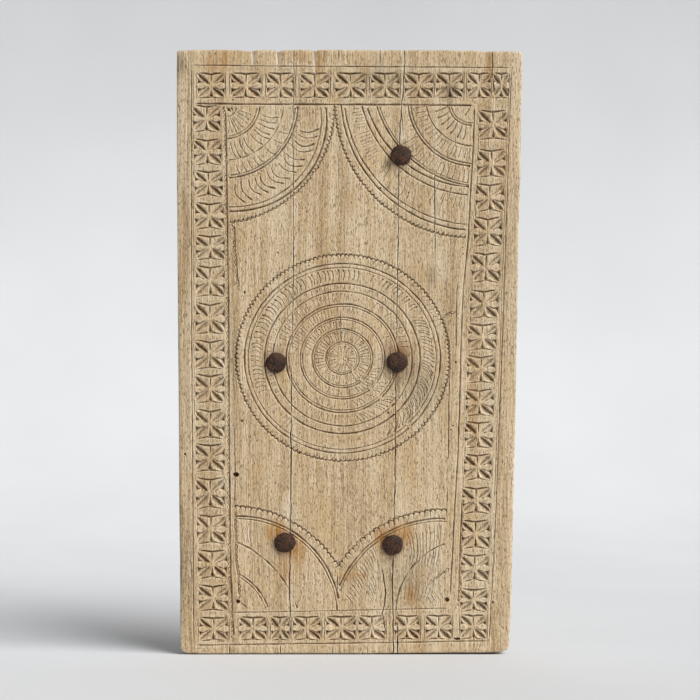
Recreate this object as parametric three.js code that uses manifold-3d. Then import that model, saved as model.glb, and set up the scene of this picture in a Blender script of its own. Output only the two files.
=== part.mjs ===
// A carved wall panel: one old plank with a chip-carved border of rosettes, a fan of arcs in each
// corner and a ring medallion in the middle, and the five large iron nails driven through it.
// Millimetres, +Z up. The carved face looks along -Y and the flat back lies on y = 0.
import * as THREE from 'three';
import { ConvexGeometry } from 'three/addons/geometries/ConvexGeometry.js';
import { mergeVertices } from 'three/addons/utils/BufferGeometryUtils.js';
import Module from 'manifold-3d';

// Plank
const panelHeight = 725;
const topWidth = 415;
const leftLean = 4.5;
const rightLean = 15.5;
const plankThickness = 28;
const lowerLeftRound = 10;
const lowerRightRound = 9;
const roundSteps = 4;

// Upright lines of the carving: distance in from the plank's side, at the top and at the foot
const leftFrameLine = [17.5, 16.5];
const leftSquaresOuter = [20, 24];
const leftSquaresInner = [51, 58.5];
const leftFieldLine = [57.5, 64.5];
const leftBeadLine = [67.5, 70];
const rightFrameLine = [13, 26.5];
const rightSquaresOuter = [15.5, 28.5];
const rightSquaresInner = [48.5, 61];
const rightFieldLine = [54, 76];
const rightBeadLine = [59, 86.5];

// Level lines: distance in from the plank's top or foot, at the left end and at the right end
const topFrameLine = [18.5, 21.5];
const topSquaresOuter = [28, 28];
const topSquaresInner = [58, 58];
const topFieldLine = [65.5, 67];
const footFrameLine = [10, 15];
const footSquaresOuter = [15.5, 18];
const footSquaresInner = [43, 47];
const footFieldLine = [49.5, 56];

// Border squares as the carver stepped them off: each bar and the square after it, down a column from
// the plank's top or along a row from its left side, and the plain wood left over after the last one
const leftColumn = [[67.5, 30.5], [10, 29.5], [8.5, 29.5], [9, 30], [9, 28], [9, 35], [9.5, 35.5],
  [9.5, 32.5], [8.5, 32.5], [9.5, 33], [8.5, 31], [9.5, 35], [9.5, 32.5], [9.5, 32.5], [9.5, 29.5]];
const leftColumnRest = 52;
const rightColumn = [[73.5, 33.5], [13.5, 32], [9, 32], [8.5, 33], [9.5, 34], [11, 32.5], [8, 30],
  [8.5, 31], [9, 30.5], [8.5, 30], [9, 29.5], [10, 30], [9.5, 32.5], [9, 30.5], [10.5, 25.5]];
const rightColumnRest = 51.5;
const topRow = [[24.5, 33], [7.5, 36], [7, 33], [7, 35], [7, 36], [7, 34.5], [6, 34], [3.5, 33],
  [5, 28], [3, 19]];
const topRowRest = 16;
const footRow = [[22.5, 34.5], [13, 33.5], [5.5, 21.5], [4, 34], [6, 36], [2.5, 33], [11, 30],
  [7, 31.5], [10.5, 31]];
const footRowRest = 28.5;

// Cuts
const chipDepth = 2.6;
const edgeCutDepth = 1.4;
const lineDepth = 1.2;
const lineWidth = 2.2;
const ringDepth = 1.1;
const ringWidth = 2.4;
const strokeDepth = 0.8;
const strokeWidth = 1.6;
const crackDepth = 3;
const crackWidth = 1.3;
const overcut = 1;

// Medallion
const medallionAcross = -8.5;
const medallionUp = -8;
const medallionWidening = 1.017;
const medallionRings = [126, 115.5, 91.5, 82, 66.5, 50, 36, 19.5];
const medallionRingSides = 34;
const featherCount = 40;
const featherOuter = 110;
const featherInner = 94;
const featherSweep = 0.05;

// Corner fans: each arc as its centre's distance in from the plank's side and end, and its radius
const upperLeftFan = [[49, 67.5, 140.5], [69, 83, 109], [56.5, 65.5, 88.5], [58, 62.5, 70], [57.5, 65, 42]];
const upperRightFan = [[60, 59.5, 166], [54.5, 51.5, 162], [55, 32.5, 142], [57, 29.5, 135],
  [57.5, 60, 78.5], [59.5, 59, 56.5], [61.5, 63, 27]];
const lowerLeftFan = [[61, 27.5, 149], [70, 43.5, 121], [38, 32, 70.5]];
const lowerRightFan = [[79, 19.5, 153.5], [83, 30.5, 131], [48.5, 48.5, 88]];
const fanRingSides = 36;

// Cracks along the grain: height up the plank as a share, and place across from the middle
const leftCrack = [[1, -66.5], [0.62, -67.5], [0.28, -70.5], [0, -71.5]];
const rightCrack = [[1, 66], [0.75, 58.5], [0.38, 54.5], [0.16, 52], [0, 52.5]];
const sideCrack = [[0.81, 102], [0.64, 103.5]];

// Nails
const nailHeadWidth = 26.5;
const nailHeadHeight = 4.5;
const nailRimHeight = 1.6;
const nailHeadSides = 12;
const nailShankWidth = 7;
const nailPointWidth = 4.5;
const nailSinkFromBack = 1;
const nailGap = 0.3;
const upperNailFromTop = 127;
const lowerNailsFromFoot = 132;
const leftNailsAcross = -83;
const rightNailsAcross = 57;

const wasm = await Module();
wasm.setup();

const topZ = panelHeight / 2;
const footZ = -panelHeight / 2;
const footHeightShare = (z) => (topZ - z) / panelHeight;
const leftSideX = (z) => -topWidth / 2 + leftLean * footHeightShare(z);
const rightSideX = (z) => topWidth / 2 - rightLean * footHeightShare(z);
const blend = (ends, share) => ends[0] + (ends[1] - ends[0]) * share;

function uprightLeft(line, z) {
  return leftSideX(z) + blend(line, footHeightShare(z));
}

function uprightRight(line, z) {
  return rightSideX(z) - blend(line, footHeightShare(z));
}

function levelTop(line, x) {
  return topZ - blend(line, 0.5 + x / topWidth);
}

function levelFoot(line, x) {
  return footZ + blend(line, 0.5 + x / topWidth);
}

// A point across and up the carved face, out from it or, below zero, into the wood
function onFace(x, z, out) {
  return new THREE.Vector3(x, -plankThickness - out, z);
}

function solidOf(geometry) {
  geometry.deleteAttribute('normal');
  geometry.deleteAttribute('uv');
  const merged = mergeVertices(geometry);
  return new wasm.Manifold(new wasm.Mesh({
    numProp: 3,
    vertProperties: new Float32Array(merged.attributes.position.array),
    triVerts: new Uint32Array(merged.index.array),
  }));
}

function geometryOf(solid) {
  const mesh = solid.getMesh();
  const geometry = new THREE.BufferGeometry();
  geometry.setAttribute('position', new THREE.BufferAttribute(mesh.vertProperties, mesh.numProp));
  geometry.setIndex(new THREE.BufferAttribute(mesh.triVerts, 1));
  geometry.computeVertexNormals();
  return geometry;
}

function joined(solids) {
  return solids.reduce((all, solid) => all.add(solid));
}

// A prism over an outline drawn across and up the face, from the back to some way out of the face
function prismOf(shape, front) {
  const geometry = new THREE.ExtrudeGeometry(shape, {
    depth: front, bevelEnabled: false, curveSegments: roundSteps,
  });
  geometry.rotateX(Math.PI / 2);
  return solidOf(geometry);
}

// A chip: a pointed pit whose corners lie on the face and whose sides meet at one deepest point
function chipCutter(corners, deepest, depth) {
  const spread = (depth + overcut) / depth;
  const points = corners.map(([x, z]) => onFace(
    deepest[0] + (x - deepest[0]) * spread,
    deepest[1] + (z - deepest[1]) * spread,
    overcut,
  ));
  points.push(onFace(deepest[0], deepest[1], -depth));
  return solidOf(new ConvexGeometry(points));
}

// The section of a V groove that stands open above the face: across from its middle, and out
function grooveSection(width, depth) {
  const half = width / 2;
  return [[-half, overcut], [half, overcut], [half, 0], [0, -depth], [-half, 0]];
}

// A straight V groove from one point on the face to another
function grooveCutter(from, to, width, depth) {
  const along = new THREE.Vector2(to[0] - from[0], to[1] - from[1]).normalize();
  const points = [from, to].flatMap(([x, z]) => grooveSection(width, depth).map(
    ([across, out]) => onFace(x + along.y * across, z - along.x * across, out)));
  return solidOf(new ConvexGeometry(points));
}

// A V groove round a full circle
function ringCutter(centre, radius, sides, widening) {
  const section = grooveSection(ringWidth, ringDepth);
  const profile = [...section, section[0]].map(
    ([across, out]) => new THREE.Vector2(radius + across, -plankThickness - out));
  const geometry = new THREE.LatheGeometry(profile, sides);
  geometry.scale(widening, 1, 1);
  geometry.translate(centre[0], 0, centre[1]);
  return solidOf(geometry);
}

// A crack: grooves through a row of points given by their height share and their place across
function crackCutter(points) {
  const places = points.map(([share, x]) => [x, footZ + panelHeight * share]);
  const pieces = places.slice(1).map((place, i) => grooveCutter(places[i], place, crackWidth, crackDepth));
  return joined(pieces);
}

function plankOutline() {
  const shape = new THREE.Shape();
  shape.moveTo(leftSideX(topZ), topZ);
  shape.lineTo(leftSideX(footZ + lowerLeftRound), footZ + lowerLeftRound);
  shape.quadraticCurveTo(leftSideX(footZ), footZ, leftSideX(footZ) + lowerLeftRound, footZ);
  shape.lineTo(rightSideX(footZ) - lowerRightRound, footZ);
  shape.quadraticCurveTo(rightSideX(footZ), footZ, rightSideX(footZ + lowerRightRound),
    footZ + lowerRightRound);
  shape.lineTo(rightSideX(topZ), topZ);
  return shape;
}

// Half of the carved field: inside the field lines, on one side of the upright through the medallion
function halfField(left) {
  const topLeft = [uprightLeft(leftFieldLine, topZ - topFieldLine[0]), topZ - topFieldLine[0]];
  const topRight = [uprightRight(rightFieldLine, topZ - topFieldLine[1]), topZ - topFieldLine[1]];
  const footLeft = [uprightLeft(leftBeadLine, footZ + footFieldLine[0]), footZ + footFieldLine[0]];
  const footRight = [uprightRight(rightFieldLine, footZ + footFieldLine[1]), footZ + footFieldLine[1]];
  const topMiddle = [medallionAcross, levelTop(topFieldLine, medallionAcross)];
  const footMiddle = [medallionAcross, levelFoot(footFieldLine, medallionAcross)];
  const corners = left
    ? [topLeft, footLeft, footMiddle, topMiddle]
    : [topMiddle, footMiddle, footRight, topRight];
  const outline = new THREE.Shape(corners.map(([x, z]) => new THREE.Vector2(x, z)));
  return prismOf(outline, plankThickness + overcut);
}

// Where the squares of a column or a row begin and end, stretched to the length they run along
function spansAlong(pairs, rest, length) {
  const total = pairs.flat().reduce((sum, step) => sum + step, rest);
  let reached = 0;
  return pairs.map(([bar, square]) => {
    const from = reached + bar;
    reached = from + square;
    return [(from / total) * length, (reached / total) * length];
  });
}

function borderSquares() {
  const squares = [];
  for (const [from, to] of spansAlong(leftColumn, leftColumnRest, panelHeight)) {
    const z = topZ - (from + to) / 2;
    squares.push([uprightLeft(leftSquaresOuter, z), uprightLeft(leftSquaresInner, z), topZ - to, topZ - from]);
  }
  for (const [from, to] of spansAlong(rightColumn, rightColumnRest, panelHeight)) {
    const z = topZ - (from + to) / 2;
    squares.push([uprightRight(rightSquaresInner, z), uprightRight(rightSquaresOuter, z),
      topZ - to, topZ - from]);
  }
  for (const [from, to] of spansAlong(topRow, topRowRest, topWidth)) {
    const left = leftSideX(topZ);
    const x = left + (from + to) / 2;
    squares.push([left + from, left + to, levelTop(topSquaresInner, x), levelTop(topSquaresOuter, x)]);
  }
  for (const [from, to] of spansAlong(footRow, footRowRest, rightSideX(footZ) - leftSideX(footZ))) {
    const left = leftSideX(footZ);
    const x = left + (from + to) / 2;
    squares.push([left + from, left + to, levelFoot(footSquaresOuter, x), levelFoot(footSquaresInner, x)]);
  }
  return squares;
}

// One rosette of six petals, cut as six tapering chips from the boss outwards, with a long chip
// along the head and the foot of its square
function rosetteCutters([left, right, foot, top]) {
  const spot = (u, v) => [
    (left + right) / 2 + (u * (right - left)) / 2,
    (foot + top) / 2 + (v * (top - foot)) / 2,
  ];
  const tapering = (u, v, width, widestAt) => {
    const start = 0.14;
    const between = (share) => start + (1 - start) * share;
    const side = [(-v * width) / Math.hypot(u, v), (u * width) / Math.hypot(u, v)];
    const middle = between(widestAt);
    return chipCutter([
      spot(u * start, v * start),
      spot(u * middle + side[0], v * middle + side[1]),
      spot(u, v),
      spot(u * middle - side[0], v * middle - side[1]),
    ], spot(u * middle, v * middle), chipDepth);
  };
  const cutters = [
    tapering(-0.94, 0.92, 0.17, 0.5),
    tapering(0.94, 0.92, 0.22, 0.55),
    tapering(-0.94, -0.92, 0.22, 0.55),
    tapering(0.94, -0.92, 0.17, 0.5),
    tapering(0, 0.92, 0.14, 0.75),
    tapering(0, -0.96, 0.2, 0.8),
  ];
  for (const v of [-1, 1]) {
    cutters.push(chipCutter([spot(-0.84, v), spot(0, v * 1.06), spot(0.84, v), spot(0, v * 0.88)],
      spot(0, v * 0.98), edgeCutDepth));
  }
  return cutters;
}

function frameLineCutters() {
  const upright = (place, line, fromZ, toZ) => grooveCutter(
    [place(line, fromZ), fromZ], [place(line, toZ), toZ], lineWidth, lineDepth);
  const level = (place, line, fromX, toX) => grooveCutter(
    [fromX, place(line, fromX)], [toX, place(line, toX)], lineWidth, lineDepth);
  const frameTop = topZ - topFrameLine[0];
  const frameFoot = footZ + footFrameLine[1];
  const fieldTop = topZ - topFieldLine[0];
  const fieldFoot = footZ + footFieldLine[0];
  const beadTop = topZ - upperNailFromTop;
  return [
    upright(uprightLeft, leftFrameLine, frameTop, frameFoot),
    upright(uprightRight, rightFrameLine, frameTop, frameFoot),
    upright(uprightLeft, leftFieldLine, fieldTop, fieldFoot),
    upright(uprightRight, rightFieldLine, fieldTop, fieldFoot),
    upright(uprightLeft, leftBeadLine, beadTop - 85, fieldFoot),
    upright(uprightRight, rightBeadLine, beadTop - 100, fieldFoot + 135),
    level(levelTop, topFrameLine, uprightLeft(leftFrameLine, frameTop), uprightRight(rightFrameLine, frameTop)),
    level(levelFoot, footFrameLine, uprightLeft(leftFrameLine, frameFoot),
      uprightRight(rightFrameLine, frameFoot)),
    level(levelTop, topFieldLine, uprightLeft(leftFrameLine, fieldTop), uprightRight(rightFieldLine, fieldTop)),
    level(levelFoot, footFieldLine, uprightLeft(leftFieldLine, fieldFoot),
      uprightRight(rightFieldLine, fieldFoot)),
  ];
}

function medallionCutters() {
  const centre = [medallionAcross, medallionUp];
  const at = (radius, angle) => [
    centre[0] + radius * medallionWidening * Math.cos(angle),
    centre[1] + radius * Math.sin(angle),
  ];
  const cutters = medallionRings.map(
    (radius) => ringCutter(centre, radius, medallionRingSides, medallionWidening));
  for (let i = 0; i < featherCount; i += 1) {
    const angle = ((i + 0.5) / featherCount) * 2 * Math.PI;
    cutters.push(grooveCutter(at(featherOuter, angle), at(featherInner, angle - featherSweep),
      strokeWidth, strokeDepth));
  }
  return cutters;
}

function fanCutters(arcs, left, upper) {
  const sideX = left ? leftSideX : rightSideX;
  const endZ = upper ? topZ : footZ;
  const inward = left ? 1 : -1;
  const away = upper ? -1 : 1;
  const rings = arcs.map(([fromSide, fromEnd, radius]) => ringCutter(
    [sideX(endZ) + inward * fromSide, endZ + away * fromEnd], radius, fanRingSides, 1));
  return joined(rings).intersect(halfField(left));
}

const nails = {
  nail_upper_right: [rightNailsAcross + 5, topZ - upperNailFromTop],
  nail_centre_left: [leftNailsAcross - 5, medallionUp - 5.5],
  nail_centre_right: [rightNailsAcross, medallionUp - 4.5],
  nail_lower_left: [leftNailsAcross + 5.5, footZ + lowerNailsFromFoot + 1.5],
  nail_lower_right: [rightNailsAcross - 5.5, footZ + lowerNailsFromFoot - 1.5],
};

// The square, tapering shank of a nail, or with a gap all round it the hole that it sits in
function shankSolid(gap, backY, frontY) {
  const diagonal = Math.SQRT2 / 2;
  const geometry = new THREE.CylinderGeometry(
    (nailPointWidth + 2 * gap) * diagonal, (nailShankWidth + 2 * gap) * diagonal, backY - frontY, 4);
  geometry.rotateY(Math.PI / 4);
  geometry.translate(0, (backY + frontY) / 2, 0);
  return solidOf(geometry);
}

function nailHoleCutter([x, z]) {
  return shankSolid(nailGap, overcut, -plankThickness - overcut).translate([x, 0, z]);
}

function nailSolid() {
  const under = -plankThickness - nailGap;
  const half = nailHeadWidth / 2;
  const profile = [
    new THREE.Vector2(0, under - nailHeadHeight),
    new THREE.Vector2(half * 0.45, under - nailHeadHeight * 0.9),
    new THREE.Vector2(half * 0.82, under - nailHeadHeight * 0.62),
    new THREE.Vector2(half, under - nailRimHeight),
    new THREE.Vector2(half * 0.97, under),
    new THREE.Vector2(0, under),
  ];
  const head = solidOf(new THREE.LatheGeometry(profile, nailHeadSides));
  return head.add(shankSolid(0, -nailSinkFromBack, under - nailRimHeight));
}

function plankSolid() {
  let plank = prismOf(plankOutline(), plankThickness);
  const cutters = [
    ...borderSquares().flatMap(rosetteCutters),
    ...frameLineCutters(),
    ...medallionCutters(),
    fanCutters(upperLeftFan, true, true),
    fanCutters(upperRightFan, false, true),
    fanCutters(lowerLeftFan, true, false),
    fanCutters(lowerRightFan, false, false),
    crackCutter(leftCrack),
    crackCutter(rightCrack),
    crackCutter(sideCrack),
    ...Object.values(nails).map(nailHoleCutter),
  ];
  for (const cutter of cutters) {
    plank = plank.subtract(cutter);
  }
  return plank;
}

const weatheredWood = new THREE.MeshStandardMaterial({ color: 0xb39b7c, roughness: 0.85, metalness: 0 });
const rustedIron = new THREE.MeshStandardMaterial({ color: 0x46302a, roughness: 0.8, metalness: 0.4 });

const panel = new THREE.Group();
const plankMesh = new THREE.Mesh(geometryOf(plankSolid()), weatheredWood);
plankMesh.name = 'plank';
panel.add(plankMesh);

const nailGeometry = geometryOf(nailSolid());
for (const [name, [x, z]] of Object.entries(nails)) {
  const nail = new THREE.Mesh(nailGeometry, rustedIron);
  nail.name = name;
  nail.position.set(x, 0, z);
  panel.add(nail);
}

export default panel;
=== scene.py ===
"""A carved wall panel: one weathered plank with a chip-carved rosette border, a fan of arcs in each
corner, a ring medallion in the middle, and five large hand-forged iron nails.

Sizes are in millimetres and turned to metres where a shape is made. The carved face looks along -Y,
the flat back lies on y = 0, and +Z runs up the grain.
"""
import logging
import math
import random
from dataclasses import dataclass
from enum import Enum
import bmesh
import bpy
from mathutils import Matrix, Vector, noise


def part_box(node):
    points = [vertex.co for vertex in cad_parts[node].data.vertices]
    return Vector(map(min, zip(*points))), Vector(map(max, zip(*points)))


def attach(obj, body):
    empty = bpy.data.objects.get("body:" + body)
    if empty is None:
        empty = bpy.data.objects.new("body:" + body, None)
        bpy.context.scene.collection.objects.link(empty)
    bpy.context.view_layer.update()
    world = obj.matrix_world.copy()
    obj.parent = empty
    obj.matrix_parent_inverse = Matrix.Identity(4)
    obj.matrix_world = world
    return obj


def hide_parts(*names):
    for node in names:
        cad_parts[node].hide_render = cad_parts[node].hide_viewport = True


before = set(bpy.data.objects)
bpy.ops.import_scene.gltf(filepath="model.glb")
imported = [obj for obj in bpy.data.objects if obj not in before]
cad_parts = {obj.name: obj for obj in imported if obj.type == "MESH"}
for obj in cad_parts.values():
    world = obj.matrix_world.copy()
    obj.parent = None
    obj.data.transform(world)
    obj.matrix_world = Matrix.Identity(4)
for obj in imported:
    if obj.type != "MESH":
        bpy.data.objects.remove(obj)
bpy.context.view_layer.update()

LOG = logging.getLogger("carved_wall_panel")
MM = 0.001
PLANK_LOW, PLANK_HIGH = (Vector(corner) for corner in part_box("plank"))
FACE_Y = PLANK_LOW.y
BACK_Y = PLANK_HIGH.y
OVERCUT = 1.0
NAIL_NODES = ("nail_upper_right", "nail_centre_left", "nail_centre_right", "nail_lower_left",
              "nail_lower_right")

Place = tuple[float, float]
Path = tuple[Place, ...]


def linear(colour: str) -> tuple[float, float, float, float]:
    """Turn an sRGB hex colour to the linear colour that a shader takes.

    Args:
        colour: Six hex digits after a hash sign.

    Returns:
        Linear red, green and blue, and an alpha of 1.
    """
    parts = [int(colour[i:i + 2], 16) / 255 for i in (1, 3, 5)]
    low, high = 12.92, 1.055
    return tuple([p / low if p <= 0.04045 else ((p + 0.055) / high) ** 2.4 for p in parts] + [1.0])


def follow(points: Path, at: float) -> float:
    """Read a line given by points at one place along it.

    Args:
        points: Pairs of a place along the line and its value there, in order.
        at: The place to read.

    Returns:
        The value there, held level past both ends.
    """
    if at <= points[0][0]:
        return points[0][1]
    for (a, start), (b, end) in zip(points, points[1:]):
        if at <= b:
            return start + (end - start) * (at - a) / (b - a)
    return points[-1][1]


def turned(points: Path) -> Path:
    """Swap across and up, so that a line down the face can be read by its height."""
    return tuple(sorted((z, x) for x, z in points))


def on_face(x: float, z: float, out: float = 0.0) -> Vector:
    """A place across and up the carved face, out from it or, below zero, into the wood."""
    return Vector((x * MM, FACE_Y - out * MM, z * MM))


def joined_to_scene(name: str, shape: bmesh.types.BMesh) -> bpy.types.Object:
    """Turn a finished shape into an object at the origin.

    Args:
        name: The object's name.
        shape: The shape, which is freed.

    Returns:
        The new object, linked to the scene.
    """
    mesh = bpy.data.meshes.new(name)
    shape.to_mesh(mesh)
    shape.free()
    item = bpy.data.objects.new(name, mesh)
    bpy.context.scene.collection.objects.link(item)
    return item


def share(value: float) -> float:
    """Hold a value between 0 and 1."""
    return min(1.0, max(0.0, value))


def middle_of(node: str) -> Vector:
    """The middle of one of the CAD's pieces."""
    low, high = (Vector(corner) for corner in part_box(node))
    return (low + high) / 2


def square_bar(first: float, last: float, length: float, centre: Vector) -> bmesh.types.BMesh:
    """Make a square bar that runs straight into the wood.

    Args:
        first: How far its corners lie from its axis at the front end, in metres.
        last: The same at the other end.
        length: Its length, in metres.
        centre: Its middle.

    Returns:
        The bar, as a closed shape.
    """
    bar = bmesh.new()
    bmesh.ops.create_cone(bar, cap_ends=True, segments=4, radius1=first, radius2=last, depth=length)
    for angle, axis in ((math.pi / 4, "Z"), (-math.pi / 2, "X")):
        bmesh.ops.rotate(bar, verts=bar.verts, cent=(0, 0, 0), matrix=Matrix.Rotation(angle, 3, axis))
    bmesh.ops.translate(bar, verts=bar.verts, vec=centre)
    return bar


def combine(kept: bpy.types.Object, tool: bpy.types.Object, operation: str) -> None:
    """Take one closed shape out of another, or weld the two, for good.

    Args:
        kept: The object whose mesh is replaced by the result.
        tool: The other object, which is removed.
        operation: The Boolean operation's name.
    """
    modifier = kept.modifiers.new("combine", "BOOLEAN")
    modifier.operation = operation
    modifier.solver = "MANIFOLD"
    modifier.object = tool
    seen = kept.evaluated_get(bpy.context.evaluated_depsgraph_get())
    mesh = bpy.data.meshes.new_from_object(seen)
    kept.modifiers.clear()
    before, used = kept.data, tool.data
    kept.data = mesh
    bpy.data.objects.remove(tool)
    bpy.data.meshes.remove(before)
    bpy.data.meshes.remove(used)


class StainKind(Enum):
    """What has stained the wood, and the painted shade and painted light that two kinds also carry."""

    RUST = "rust_stain"
    OCHRE = "ochre_stain"
    # This kind also carries painted shade in a long strip down the plank's left edge.
    SOOT = "soot_stain"
    # This kind also carries painted light in a long strip down the plank's right edge.
    BLEACH = "bleach_stain"


STAIN_NAMES = tuple(kind.value for kind in StainKind)
STAIN_COLOURS = ((StainKind.OCHRE, "#b27c33"), (StainKind.RUST, "#5a3c26"), (StainKind.SOOT, "#4c4237"),
                 (StainKind.BLEACH, "#e8dcc6"))


def add(tree: bpy.types.NodeTree, kind: str, inputs: dict | None = None, stops: tuple = (),
        **settings: object) -> bpy.types.Node:
    """Add a node, set it and link it.

    Args:
        tree: The material's node tree.
        kind: The node's type, without its usual prefix.
        inputs: For each input by name or number, a value or the output that feeds it.
        stops: For a colour ramp, pairs of a place and a colour.
        settings: The node's own settings by name.

    Returns:
        The new node.
    """
    node = tree.nodes.new("ShaderNode" + kind)
    for name, value in settings.items():
        setattr(node, name, value)
    for name, value in (inputs or {}).items():
        if isinstance(value, bpy.types.NodeSocket):
            tree.links.new(value, node.inputs[name])
        else:
            node.inputs[name].default_value = value
    while stops and len(node.color_ramp.elements) < len(stops):
        node.color_ramp.elements.new(0.5)
    for (at, colour), element in zip(stops, node.color_ramp.elements if stops else ()):
        element.position = at
        element.color = linear(colour)
    return node


def new_finish(name: str) -> tuple[bpy.types.Material, bpy.types.NodeTree, bpy.types.NodeSocket]:
    """Start a material.

    Args:
        name: The real material and how it was made.

    Returns:
        The material, its empty node tree, and the object's own coordinates in it.
    """
    finish = bpy.data.materials.new(name)
    finish.use_nodes = True
    tree = finish.node_tree
    tree.nodes.clear()
    return finish, tree, add(tree, "TexCoord").outputs["Object"]


def weighed(tree: bpy.types.NodeTree, parts: tuple[tuple[bpy.types.NodeSocket, float], ...],
            start: bpy.types.NodeSocket | float = 0.0) -> bpy.types.NodeSocket:
    """Add patterns up by their weights.

    Args:
        tree: The material's node tree.
        parts: Each pattern and its weight.
        start: What they are added to.

    Returns:
        The sum.
    """
    total = start
    for pattern, weight in parts:
        total = add(tree, "Math", {0: pattern, 1: weight, 2: total}, operation="MULTIPLY_ADD").outputs[0]
    return total


def laid_over(tree: bpy.types.NodeTree, under: bpy.types.NodeSocket, colour: str,
              amount: bpy.types.NodeSocket) -> bpy.types.NodeSocket:
    """Lay a colour over another by an amount."""
    return add(tree, "Mix", {0: amount, 6: under, 7: linear(colour)}, data_type="RGBA").outputs[2]


@dataclass(frozen=True)
class Grain:
    """A pattern stretched along the wood, by the real size of its features in millimetres."""

    across: float
    deep: float
    along: float
    detail: float = 2.0
    roughness: float = 0.5
    offset: float = 0.0

    def value(self, tree: bpy.types.NodeTree, coords: bpy.types.NodeSocket) -> bpy.types.NodeSocket:
        """Add the pattern to a material and give its output."""
        scale = tuple(1 / MM / size for size in (self.across, self.deep, self.along))
        mapped = add(tree, "Mapping", {"Vector": coords, "Scale": scale, "Location": (self.offset,) * 3})
        return add(tree, "TexNoise", {"Vector": mapped.outputs[0], "Scale": 1.0, "Detail": self.detail,
                                      "Roughness": self.roughness}).outputs[0]


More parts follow.
